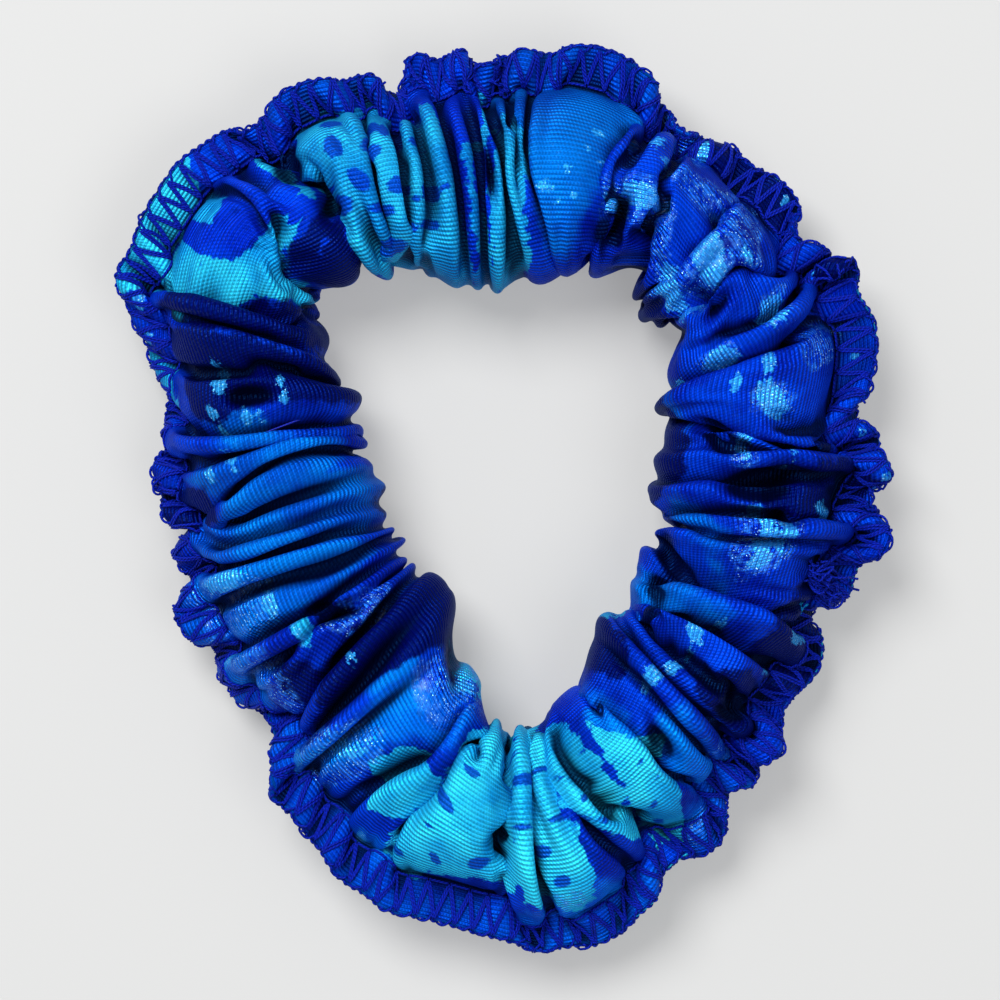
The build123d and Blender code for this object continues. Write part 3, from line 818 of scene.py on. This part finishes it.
def build_cover(strip, tube, edge):
    """The cover with its attributes, and the band of the sewn edge with its upward normals."""
    band = np.concatenate([tube[:, :1], edge], 1)
    band_normals = grid_normals(band, False)
    band_normals = band_normals * np.sign(band_normals[..., 2].mean())
    grid, share, degrees, y = cover_rows(strip, tube, band, band_normals)
    x = double_plain(np.repeat(strip.along[:, None], grid.shape[1], 1), strip.total)
    grid = double_smooth(double_smooth(grid, 0), 1)
    degrees = double_plain(degrees, 360.0)
    share = double_plain(share)
    y = double_plain(y)
    share[:, -1] = -1.0
    y[:, -1] = 66.0
    # take the grid's own ripple out
    for _ in range(2):
        around = (np.roll(grid, 1, 0) + np.roll(grid, -1, 0) + np.roll(grid, 1, 1)
                  + np.roll(grid, -1, 1)) / 4
        grid = grid + 0.25 * (around - grid)
    nu, nv = grid.shape[:2]

    rng = np.random.default_rng(21)

    def ripple(along_sigma, across_sigma):
        field = blur(blur(rng.normal(size=(nu, nv)), along_sigma, 0), across_sigma, 1)
        return field / field.std()

    # small wrinkles between the folds, weaker on the sewn edge
    fade = np.ones(nv)
    fade[:2 * EDGE_ROWS + 4] = .3
    fade[-2 * EDGE_ROWS - 6:] = .3
    wrinkles = ripple(2.6, 7) * .1 + ripple(6, 3.5) * .12
    grid = grid + grid_normals(grid, True) * (wrinkles * fade[None])[..., None]
    normals = grid_normals(grid, True)
    mean = blur(blur(grid, 9, 0), 3, 1)
    if ((grid - grid.mean(1, keepdims=True)) * normals).sum(-1).mean() < 0:
        normals = -normals
    # deep hollows with wandering outlines: the cloth is pushed down here, and further on the
    # hollows are also painted dark as shade
    gap = ellipses((degrees + ripple(5, 5) * .9).ravel(), (share + ripple(4, 7) * .03).ravel(),
                   GAPS)
    gap = np.clip(gap.reshape(nu, nv) / 1.9 + .3, 0, 1)
    gap = gap * gap * (3 - 2 * gap)
    grid = grid - normals * (gap * fade[None] * .8)[..., None]
    grid[..., 2] -= gap * fade[None] * 2.6 * np.clip((grid[..., 2] - 8) / 6, 0, 1)
    grid[..., 2] = np.maximum(grid[..., 2], .06)
    # how deep each point lies between its near and its wider neighbours, for the painted shade in
    # the creases and hollows
    crease_shade = ((mean - grid) * normals).sum(-1)
    hollow_shade = ((blur(blur(grid, 22, 0), 5, 1) - grid) * normals).sum(-1)

    cover = new_mesh("cover_fabric_cloth", grid.reshape(-1, 3), grid_faces(nu, nv))
    degrees, share = degrees.ravel(), share.ravel()
    put(cover, "crease_shade", crease_shade)
    # painted shade: the hollows are darkened in the material through this depth
    put(cover, "hollow_shade", hollow_shade + 2.2 * gap)
    put(cover, "bright", wrap_table(BRIGHT, degrees))
    put(cover, "strip", np.stack([x.ravel(), y.ravel(), 0 * degrees], -1), "FLOAT_VECTOR")
    rng = np.random.default_rng(5)
    for name, (count, low, high) in SCATTER.items():
        blobs = SPOTS.get(name, []) + random_blobs(rng, count, low, high)
        put(cover, name, np.maximum(polygons(degrees, share, PATCHES.get(name, [])),
                                    ellipses(degrees, share, blobs)))
    return cover, band, band_normals


# ---------------------------------------------------------------- thread
def tubes(name, lines, radius, closed=False, ups=None):
    """One mesh of round threads along polylines. Every line is an array of points in mm."""
    sides = THREAD_SIDES
    angle = 2 * np.pi * np.arange(sides) / sides
    k = np.arange(sides)
    verts, faces, along = [], [], []
    base = 0
    for number, line in enumerate(lines):
        n = len(line)
        if closed:
            forward = np.roll(line, -1, 0) - np.roll(line, 1, 0)
        else:
            forward = np.gradient(line, axis=0)
        forward = unit(forward)
        up = np.tile([0.0, 0.0, 1.0], (n, 1)) if ups is None else ups[number]
        a = np.cross(forward, up)
        bad = np.linalg.norm(a, axis=1) < 0.15
        a[bad] = np.cross(forward[bad], [0.31, 0.87, 0.2])
        a /= np.linalg.norm(a, axis=1, keepdims=True)
        b = np.cross(forward, a)
        ring = line[:, None] + (a[:, None] * np.cos(angle)[None, :, None]
                                + b[:, None] * np.sin(angle)[None, :, None]) * radius
        verts.append(ring.reshape(-1, 3))
        length = np.r_[0, np.cumsum(np.linalg.norm(np.diff(line, axis=0), axis=1))]
        along.append(np.stack([np.repeat(length, sides), np.tile(angle, n),
                               np.full(n * sides, float(number))], -1))
        faces.append(grid_faces(n, sides, closed) + base)
        first, last = base, base + (n - 1) * sides
        base += n * sides
        if not closed:
            # close both ends with a point
            verts.append(np.stack([line[0] - forward[0] * radius * .6,
                                   line[-1] + forward[-1] * radius * .6]))
            along.append(np.array([[0, 0, float(number)], [length[-1], 0, float(number)]]))
            for one, other, tip in ((first + (k + 1) % sides, first + k, base),
                                    (last + k, last + (k + 1) % sides, base + 1)):
                tip = np.full(sides, tip)
                faces.append(np.stack([one, other, tip, tip], -1))
            base += 2
    thread = new_mesh(name, np.concatenate(verts), np.concatenate(faces))
    put(thread, "along", np.concatenate(along), "FLOAT_VECTOR")
    return thread


def edge_points(strip, band, normals, x, s, lift):
    """Points and normals on the sewn edge: x in mm along the strip, s from the seam line (0)
    to the edge (1), lift in mm above the middle of the cloth."""
    count = band.shape[0]
    column = np.interp(np.mod(x, strip.total), np.r_[strip.along, strip.total],
                       np.arange(count + 1))
    i = np.floor(column).astype(int)
    fx = (column - i)[:, None]
    i0, i1 = i % count, (i + 1) % count
    row = np.clip(s, 0, 1) * EDGE_ROWS
    j = np.minimum(np.floor(row).astype(int), EDGE_ROWS - 1)
    fy = (row - j)[:, None]

    def between(grid):
        return ((grid[i0, j] * (1 - fx) + grid[i1, j] * fx) * (1 - fy)
                + (grid[i0, j + 1] * (1 - fx) + grid[i1, j + 1] * fx) * fy)

    normal = unit(between(normals))
    over = np.clip(s - 1, 0, None)[:, None] * EDGE_WIDTH
    out = unit(band[i0, -1] - band[i0, -2])
    return between(band) + normal * lift[:, None] + out * over, normal


def build_threads(strip, band, normals):
    """Overlock threads: upper looper, lower looper, loops on the edge, needle thread."""
    def on_edge(x, s, lift):
        return edge_points(strip, band, normals, x, s, lift)

    rng = np.random.default_rng(3)
    count = int(round(strip.total * strip.short / 2.35))
    pitch = strip.total / count
    # looper threads: from the needle line out to the edge and back, one V a stitch
    needle_line = .14
    q = np.linspace(0, 1, 9, endpoint=False)
    xs, ss = [], []
    for k in range(count):
        x0 = k * pitch + rng.normal() * .07
        e = .62 + rng.normal() * .05
        xs += [x0 + pitch * e * q, x0 + pitch * (e + (1 - e) * q)]
        ss += [needle_line + (1.0 - needle_line) * q, 1.0 - (1.0 - needle_line) * q]
    xs, ss = np.concatenate(xs), np.concatenate(ss)
    lift = EDGE_HALF + THREAD_RADIUS * .9 + .05 * np.sin(xs * 3.1)
    _, upper_normals = on_edge(xs, ss, lift)
    # two loose plies side by side
    plies = [on_edge(xs + o, ss, lift + .04 * np.cos(xs * 5 + o * 9))[0] for o in (-.15, .15)]
    lower, lower_normals = on_edge(xs + pitch * .5, ss, -lift)
    upper_thread = tubes("overlock_upper_looper_thread_sewn", plies, THREAD_RADIUS * .95, True,
                         [upper_normals, upper_normals])
    lower_thread = tubes("overlock_lower_looper_thread_sewn", [lower], THREAD_RADIUS, True,
                         [lower_normals])
    # an uneven coil that wraps the edge, and a chain of knots on the very edge
    turns = np.arange(count * 26) / 26.0
    x = turns * pitch
    angle = 2 * np.pi * turns
    swing = .085 + .03 * np.sin(turns * .7) + .02 * np.sin(turns * 2.3 + 1)
    coil, coil_normals = on_edge(x + .35 * np.sin(angle), .99 + swing * np.cos(angle),
                                 (EDGE_HALF + THREAD_RADIUS * 1.3) * np.sin(angle))
    knots, knot_normals = on_edge(x, 1.045 + .028 * np.sin(angle * 2), .28 * np.cos(angle * 2))
    loops = tubes("overlock_edge_loops", [coil, knots], THREAD_RADIUS * .9, True,
                  [coil_normals, knot_normals])
    # needle thread: short stitches with dips between them
    q = np.linspace(0, 1, 10)
    lift = EDGE_HALF + THREAD_RADIUS * .4 + .14 * np.sin(np.pi * q)
    stitches = [on_edge((k + .06 + .88 * q) * pitch, np.full(10, .115), lift)
                for k in range(count)]
    lines, line_normals = zip(*stitches)
    needle_thread = tubes("overlock_needle_thread_sewn", lines, THREAD_RADIUS * .95, False,
                          line_normals)
    return upper_thread, lower_thread, loops, needle_thread


def curl(rng, a, b, swing, turns):
    """A springy bit of loose thread from a to b."""
    q = np.linspace(0, 1, 30)[:, None]
    forward = (b - a) / (np.linalg.norm(b - a) + 1e-9)
    side = np.cross(forward, rng.normal(size=3))
    side /= np.linalg.norm(side) + 1e-9
    other = np.cross(forward, side)
    w = 2 * np.pi * turns * q + rng.uniform(0, 6)
    envelope = np.sin(np.pi * q) ** .6
    return a + (b - a) * q + (side * np.sin(w) + other * np.cos(w * 1.13)) * swing * envelope


def build_tail(cloth):
    """Frayed end of the sewing on the +X side, with one long end lying over the folds, and the
    loose loops that stand off the edge on the +Y and -X sides."""
    rng = np.random.default_rng(17)
    cloth = cloth.reshape(-1, 3)

    def top(x, y):
        near = np.hypot(cloth[:, 0] - x, cloth[:, 1] - y) < 1.3
        return cloth[near, 2].max() if near.any() else 9.0

    lines = []
    root = np.array([38.3, -8.7, 0])
    root[2] = top(root[0], root[1]) - .6
    end = np.array([42.4, -13.3, 8.6])
    for _ in range(20):
        f = rng.uniform(.35, 1.05)
        side = np.array([.72, .69, 0]) * rng.normal() * 1.5 * f
        b = root + (end - root) * f + side + [0, 0, rng.uniform(-.8, 1.6)]
        a = root + rng.normal(size=3) * [.8, .8, .3]
        lines.append(curl(rng, a, b, swing=rng.uniform(.35, .9), turns=rng.uniform(.8, 2.4)))
    # loops round the bunch
    for _ in range(9):
        centre = root + (end - root) * rng.uniform(.2, .75) + rng.normal(size=3) * .3
        centre[2] = max(centre[2], 8.0) + .5
        t = np.linspace(0, 2 * np.pi * rng.uniform(.8, 1.2), 26)
        one = np.array([.7, .7, .1]) * rng.uniform(.6, 1.1)
        other = np.array([-.5, .55, .5]) * rng.uniform(.5, 1.1)
        lines.append(centre + np.cos(t)[:, None] * one + np.sin(t)[:, None] * other)
    # the long end, of three plies
    q = np.linspace(0, 1, 22)
    x = 38.6 + (41.9 - 38.6) * q + .15 * np.sin(q * 9)
    y = -9.6 + (-6.8 + 9.6) * q + .12 * np.cos(q * 7)
    z = np.array([top(a, b) for a, b in zip(x, y)])
    smooth = np.convolve(np.pad(z, 3, mode="edge"), np.ones(7) / 7, "valid")
    z = np.maximum(smooth, z.max() - 2.0) + .5
    for k in range(3):
        w = 2.1 * k + q * 14
        lines.append(np.stack([x + .13 * np.cos(w), y + .13 * np.sin(w), z + .1 * k], 1))
    # loops off the edge: centre, size, how many
    for *place, size, count in ((-1.0, 53.0, 9.5, 1.5, 7), (-43.0, .6, 8.5, 1.0, 4)):
        out = np.array([place[0], place[1], 0]) / math.hypot(place[0], place[1])
        side = np.array([-out[1], out[0], 0])
        t = np.linspace(-.15, 2 * np.pi + .15, 26)
        for k in range(count):
            wide, high = size * rng.uniform(.5, 1.0), size * rng.uniform(.5, .95)
            centre = np.array(place) + side * rng.normal() * size * .9 + out * rng.normal() * .15
            lines.append(centre + np.sin(t)[:, None] * side * wide
                         - np.cos(t)[:, None] * out * high
                         + np.sin(t * 2 + k)[:, None] * [0, 0, .35])
    for line in lines:
        line[:, 2] = np.clip(line[:, 2], .5, 19.2)
    return tubes("overlock_thread_tail_frayed", lines, TAIL_RADIUS)


# ---------------------------------------------------------------- shader building
def operator(kind, swapped=False):
    def apply(self, other):
        pair = (other, self) if swapped else (self, other)
        return self.shader.math(kind, *pair)
    return apply


class Value:
    """Output of a shader node; arithmetic on it adds math nodes."""
    def __init__(self, shader, socket):
        self.shader, self.socket = shader, socket

    __add__ = operator("ADD")
    __radd__ = operator("ADD", swapped=True)
    __sub__ = operator("SUBTRACT")
    __rsub__ = operator("SUBTRACT", swapped=True)
    __mul__ = operator("MULTIPLY")


class Shader:
    """A material with one Principled surface."""
    def __init__(self, name):
        self.material = bpy.data.materials.new(name)
        self.material.use_nodes = True
        self.tree = self.material.node_tree
        self.tree.nodes.clear()
        output = self.node("OutputMaterial")
        self.principled = self.node("BsdfPrincipled")
        self.tree.links.new(self.principled.outputs[0], output.inputs[0])

    def node(self, kind, **settings):
        node = self.tree.nodes.new("ShaderNode" + kind)
        for key, setting in settings.items():
            setattr(node, key, setting)
        return node

    def feed(self, node, inputs):
        """Links values and sets numbers and colours, by input name or index."""
        for key, value in inputs.items():
            if isinstance(value, Value):
                self.tree.links.new(value.socket, node.inputs[key])
            else:
                colour = isinstance(value, tuple)
                node.inputs[key].default_value = (*value, 1) if colour else value

    def add(self, kind, inputs, output=0, **settings):
        node = self.node(kind, **settings)
        self.feed(node, inputs)
        return Value(self, node.outputs[output])

    def surface(self, inputs):
        self.feed(self.principled, inputs)

    def attribute(self, name, output="Fac"):
        return self.add("Attribute", {}, output, attribute_name=name)

    def object_mm(self):
        coordinates = self.add("TexCoord", {}, "Object")
        node = self.node("VectorMath", operation="MULTIPLY")
        self.feed(node, {0: coordinates})
        node.inputs[1].default_value = (1000, 1000, 1000)
        return Value(self, node.outputs[0])

    def math(self, kind, *values, clamp=False):
        return self.add("Math", dict(enumerate(values)), operation=kind, use_clamp=clamp)

    def ramp(self, value, low, high, start=0, end=1, kind="LINEAR"):
        return self.add("MapRange", {"Value": value, "From Min": low, "From Max": high,
                                     "To Min": start, "To Max": end},
                        "Result", interpolation_type=kind)

    def step(self, value, low, high):
        return self.ramp(value, low, high, kind="SMOOTHSTEP")

    def noise(self, vector, scale, detail, roughness):
        return self.add("TexNoise", {"Vector": vector, "Scale": scale, "Detail": detail,
                                     "Roughness": roughness}, "Fac")

    def voronoi(self, vector, scale, output):
        return self.add("TexVoronoi", {"Vector": vector, "Scale": scale}, output)

    def mix(self, factor, a, b, kind="MIX"):
        # inputs 0, 6 and 7 are the factor and the two colours; output 2 is the colour
        return self.add("Mix", {0: factor, 6: a, 7: b}, 2, data_type="RGBA", blend_type=kind)

    def xyz(self, vector):
        node = self.node("SeparateXYZ")
        self.feed(node, {0: vector})
        return [Value(self, socket) for socket in node.outputs]

    def bump(self, height, strength, distance, normal=None):
        inputs = {"Height": height, "Strength": strength, "Distance": distance}
        if normal is not None:
            inputs["Normal"] = normal
        return self.add("Bump", inputs)


def srgb(*channels):
    """Linear colour from 0-255 sRGB values."""
    def linear(c):
        c /= 255
        return c / 12.92 if c <= .04045 else ((c + .055) / 1.055) ** 2.4
    return tuple(linear(c) for c in channels)


TURN = 2 * math.pi
YARN_DARK, YARN_PALE = srgb(4, 12, 112), srgb(10, 40, 178)


# ---------------------------------------------------------------- materials
def fabric_colour(shader, strip, y, masks, wobble, knit):
    """Printed inks, knit shading, glitter with painted glints, and painted shade in the folds."""
    mask, foil_mask, ragged = masks
    tone = shader.noise(strip, scale=.11, detail=3, roughness=.6)

    def ink(dark, pale, low=.35, high=.65):
        return shader.mix(shader.step(tone, low, high), srgb(*dark), srgb(*pale))

    colour = ink((0, 28, 148), (0, 62, 196))
    teal = shader.mix(shader.attribute("bright"), ink((0, 66, 150), (4, 100, 184)),
                      ink((0, 84, 205), (0, 124, 224)))
    half = TUBE_ROUND / 2
    on_edge = shader.step(shader.math("ABSOLUTE", y - half), half + .2, half + 1.2)
    teal = shader.mix(on_edge * .6, teal, srgb(0, 44, 172))
    colour = shader.mix(mask("teal", .9), colour, teal)
    cyan = ink((20, 146, 206), (56, 204, 232), .3, .7)
    cyan = shader.mix(shader.attribute("bright"), ink((6, 100, 172), (34, 152, 200), .3, .7), cyan)
    colour = shader.mix(mask("cyan", .14), colour, cyan)
    colour = shader.mix(mask("royal", .12), colour, ink((0, 36, 170), (0, 62, 204)))
    colour = shader.mix(mask("navy", .35), colour, srgb(0, 3, 92))
    colour = shader.mix(mask("dark", .12, wobble) * .86, colour, srgb(0, 44, 168))
    foil = foil_mask()
    streak = shader.noise(strip, scale=.9, detail=4, roughness=.65)
    colour = shader.mix(foil * shader.step(streak, .42, .62) * .65, colour, srgb(46, 132, 234))
    light = mask("light", .12, ragged)
    patchy = shader.ramp(shader.noise(strip, scale=2.2, detail=3, roughness=.6), .3, .7, .35, .9)
    colour = shader.mix(light * patchy, colour, srgb(60, 168, 236))
    # knit shading, weaker on the foil
    stitches = knit()
    even = shader.ramp(shader.noise(strip, scale=.35, detail=2, roughness=.5), .3, .7, .4, 1.0)
    shade = 1.04 + shader.ramp(stitches, -.64, .4, -.58, 0) * even
    shade = shade + (shader.noise(strip, scale=4.5, detail=2, roughness=.7) - .5) * .7
    grey = shader.add("CombineColor", {0: shade, 1: shade, 2: shade})
    colour = shader.mix(1.0 - foil * .6, colour, shader.mix(1.0, colour, grey, "MULTIPLY"))
    # glitter: small flakes of foil, dense on the foil and thin elsewhere; the flakes are print,
    # their pale colour is a painted glint
    cell = shader.voronoi(strip, 4.6, "Distance")
    chance = shader.node("SeparateColor")
    shader.feed(chance, {0: shader.voronoi(strip, 4.6, "Color")})
    flake_glint = (shader.math("LESS_THAN", cell, .36)
             * shader.step(Value(shader, chance.outputs[0]), .74, .82))
    dense = shader.math("MAXIMUM", foil, light) * .8 + .03
    flake_glint = shader.math("MULTIPLY", flake_glint, dense, clamp=True)
    colour = shader.mix(flake_glint * .8, colour, srgb(170, 225, 250))
    # painted shade: the colour is darkened towards near black down in the creases and in the deep
    # hollows between folds, where shade falls
    crease_shade = shader.step(shader.attribute("crease_shade"), -.4, .72)
    crease_shade = shader.math("MAXIMUM", crease_shade * .9,
                         shader.step(shader.attribute("hollow_shade"), -.2, 1.9) * .93)
    return shader.mix(crease_shade, colour, srgb(0, 2, 34)), foil, streak, stitches


def fabric_material():
    """Blue foil-printed knit."""
    shader = Shader("foil_print_tricot")
    strip = shader.attribute("strip", "Vector")
    x, y, _ = shader.xyz(strip)
    # the outlines of the printed patches wander a little, those of the spots in their own way
    broad = shader.noise(strip, scale=.55, detail=3, roughness=.6)
    fine = shader.noise(strip, scale=2.6, detail=2, roughness=.6)
    warp = (broad - .5) * 2.2 + (fine - .5) * .5
    rough = shader.noise(strip, scale=1.3, detail=3, roughness=.7)
    wobble = (fine - .5) * .6
    ragged = (rough - .5) * 2.0 + .1
    growth = 0.0                                        # mm added round every patch

    def mask(name, soft, wander=warp):
        distance = shader.attribute(name) + wander + growth
        return shader.step(distance, -soft, soft)

    def knit():
        # wales run along the strip, 0.5 mm apart, each a row of small stitches
        wale = shader.math("SINE", y * (TURN / .5))
        stitch = shader.math("SINE", x * (TURN / .42) + y * (TURN / 1.0))
        return wale * .5 + stitch * .14

    masks = mask, lambda: mask("foil", .5), ragged
    colour, foil, streak, stitches = fabric_colour(shader, strip, y, masks, wobble, knit)
    shader.surface({
        "Base Color": colour,
        "Metallic": shader.ramp(foil, 0, 1, .42, .6),
        "Roughness": shader.ramp(foil, 0, 1, .46, .3) + (fine - .5) * .14,
        "Specular IOR Level": .4,
        "Specular Tint": (.07, .44, .86),
        "Sheen Weight": .05,
        "Sheen Roughness": .4,
        "Sheen Tint": srgb(20, 110, 240),
        "Coat Weight": foil * shader.ramp(streak, .4, .62, .03, .34),
        "Coat Roughness": .3,
        "Coat Tint": (.6, .8, 1),
    })
    grain = shader.noise(strip, scale=9, detail=2, roughness=.6)
    normal = shader.bump(stitches, strength=.8, distance=.00014)
    normal = shader.bump(grain, strength=.25, distance=.00006, normal=normal)
    crumple = shader.noise(strip, scale=1.1, detail=3, roughness=.55)
    normal = shader.bump(crumple * foil, strength=.5, distance=.0004, normal=normal)
    shader.surface({"Normal": normal})
    return shader.material


def elastic_material():
    """White knitted elastic: fine cross ribs, slightly yellowed."""
    shader = Shader("elastic_braid_knit")
    place = shader.object_mm()
    x, y, z = shader.xyz(place)
    rib = shader.math("SINE", shader.math("ARCTAN2", y, x) * 240.0)
    row = shader.math("SINE", z * (TURN / .75))
    blotch = shader.noise(place, scale=1.4, detail=3, roughness=.6)
    height = rib * .5 + row * .5
    colour = shader.mix(shader.step(blotch, .3, .7), srgb(206, 206, 200), srgb(232, 231, 226))
    # painted shade: the grooves between the ribs are darkened to grey
    colour = shader.mix(shader.step(height, .1, -.9), colour, srgb(150, 150, 148))
    shader.surface({"Base Color": colour, "Roughness": .8, "Sheen Weight": .2,
                    "Normal": shader.bump(height, strength=.6, distance=.0001)})
    return shader.material


def rubber_material():
    """Latex cord: cream with a dusting of talc."""
    shader = Shader("latex_cord")
    place = shader.object_mm()
    talc = shader.noise(place, scale=2.2, detail=4, roughness=.6)
    shader.surface({
        "Base Color": shader.mix(shader.step(talc, .3, .7), srgb(214, 196, 150),
                                 srgb(232, 220, 186)),
        "Roughness": shader.ramp(talc, 0, 1, .38, .62),
        "Subsurface Weight": .05,
        "Normal": shader.bump(shader.noise(place, scale=9, detail=2, roughness=.6),
                              strength=.3, distance=.00004),
    })
    return shader.material


def yarn_colour(shader, ply, fuzz, dark, pale):
    # painted shade of the twist: the thread is darker between its plies than on them; fuzz darkens
    # it at random
    colour = shader.mix(shader.step(ply, -1, 1), dark, pale)
    return shader.mix(shader.step(fuzz, .35, .75), colour, tuple(c * .6 for c in pale))


def cad_thread_material(name, dark, pale):
    """Twisted sewing thread, for the solids that have no thread coordinates."""
    shader = Shader(name)
    place = shader.object_mm()
    x, y, z = shader.xyz(place)
    ply = shader.math("SINE", (x + y + z) * (TURN / .42))
    fuzz = shader.noise(place, scale=6, detail=3, roughness=.6)
    shader.surface({"Base Color": yarn_colour(shader, ply, fuzz, dark, pale), "Roughness": .66,
                    "Normal": shader.bump(ply, strength=.6, distance=.00006)})
    return shader.material


def thread_material():
    """Twisted blue yarn that follows the length of each thread."""
    shader = Shader("overlock_yarn")
    along = shader.attribute("along", "Vector")
    length, angle, _ = shader.xyz(along)
    ply = shader.math("SINE", length * (TURN / .55) + angle * 2.0)
    fuzz = shader.noise(along, scale=7, detail=3, roughness=.7)
    shader.surface({
        "Base Color": yarn_colour(shader, ply, fuzz, YARN_DARK, YARN_PALE),
        "Roughness": .62,
        "Specular IOR Level": .3,
        "Sheen Weight": .12,
        "Sheen Roughness": .4,
        "Sheen Tint": srgb(60, 110, 240),
        "Specular Tint": (.35, .5, 1),
    })
    normal = shader.bump(ply, strength=.8, distance=.00007)
    normal = shader.bump(fuzz, strength=.5, distance=.00005, normal=normal)
    shader.surface({"Normal": normal})
    return shader.material


def floor_material():
    shader = Shader("pale_table")
    shader.surface({"Base Color": srgb(142, 142, 141), "Roughness": .9,
                    "Emission Color": (1, 1, 1), "Emission Strength": .27,
                    "Specular IOR Level": .1})
    return shader.material


# ---------------------------------------------------------------- build
def elastic_radii():
    """Mean radius in mm of the CAD elastic at every degree round the ring."""
    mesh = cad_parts["elastic_braid"].data
    co = np.zeros(len(mesh.vertices) * 3, np.float32)
    mesh.vertices.foreach_get("co", co)
    co = co.reshape(-1, 3) * 1000
    angle = np.degrees(np.arctan2(co[:, 1], co[:, 0])) % 360
    radius = np.hypot(co[:, 0], co[:, 1])
    return np.array([radius[np.abs((angle - d + 180) % 360 - 180) < 3].mean()
                     for d in range(361)])


def finish(node, material):
    """Gives a CAD piece inside the cover a better finish."""
    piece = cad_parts[node]
    if not piece.material_slots:
        piece.data.materials.append(material)
    for slot in piece.material_slots:
        slot.material = material


strip = author()
tube, edge = settle(strip, elastic_radii(), steps=70)
cover, band, band_normals = build_cover(strip, tube.astype(float), edge.astype(float))
upper, lower, loops, needle = build_threads(strip, band, band_normals)
tail = build_tail(np.concatenate([tube, edge], 1))
threads = (upper, lower, loops, needle, tail)

cover.data.materials.append(fabric_material())
yarn = thread_material()
for thread in threads:
    thread.data.materials.append(yarn)
for piece in (cover, *threads):
    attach(piece, "root")
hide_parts("cover_fabric")
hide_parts("overlock_upper_looper_thread")
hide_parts("overlock_thread_tail")
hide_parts("overlock_lower_looper_thread")
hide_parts("overlock_needle_thread")

finish("elastic_braid", elastic_material())
finish("elastic_rubber_cords", rubber_material())
finish("elastic_join_stitches",
       cad_thread_material("join_thread", srgb(196, 196, 192), srgb(232, 232, 228)))
finish("cover_end_seam_stitches", cad_thread_material("end_seam_thread", YARN_DARK, YARN_PALE))

# ---------------------------------------------------------------- stage, light and camera, in m
FLOOR_HALF = 1.5
VIEW_HEIGHT = .5       # camera above the middle of the ring
VIEW_WIDTH = .125      # width seen at that distance
SENSOR_WIDTH = 36      # mm


def add_floor():
    mesh = bpy.data.meshes.new("floor")
    corners = [(x * FLOOR_HALF, y * FLOOR_HALF, 0) for x, y in ((-1, -1), (1, -1), (1, 1), (-1, 1))]
    mesh.from_pydata(corners, [], [(0, 1, 2, 3)])
    floor = link_object("floor", mesh)
    mesh.materials.append(floor_material())


def add_world():
    world = bpy.data.worlds.new("studio")
    bpy.context.scene.world = world
    world.use_nodes = True
    background = world.node_tree.nodes["Background"]
    background.inputs["Color"].default_value = (.95, .97, 1.0, 1)
    background.inputs["Strength"].default_value = .5


def add_light(name, position, size, power):
    """Round area light aimed at the origin."""
    light = bpy.data.lights.new(name, "AREA")
    light.shape = "DISK"
    light.size = size
    light.energy = power
    lamp = link_object(name, light)
    lamp.location = position
    lamp.rotation_euler = (-Vector(position)).to_track_quat("-Z", "Y").to_euler()


def add_camera():
    """Looks straight down."""
    camera = bpy.data.cameras.new("camera")
    viewer = link_object("camera", camera)
    viewer.location = (-.0003125, -.0001875, VIEW_HEIGHT + .0094)
    camera.sensor_width = SENSOR_WIDTH
    camera.lens = SENSOR_WIDTH * VIEW_HEIGHT / VIEW_WIDTH
    camera.clip_start = .01
    bpy.context.scene.camera = viewer


add_floor()
add_world()
add_light("key", position=(-.36, .5, .9), size=.6, power=13)
add_light("fill", position=(.4, -.3, .8), size=.6, power=2.5)
add_camera()
view = bpy.context.scene.view_settings
view.view_transform = "Standard"
view.look = "Medium High Contrast"
view.exposure = 0
view.gamma = 1
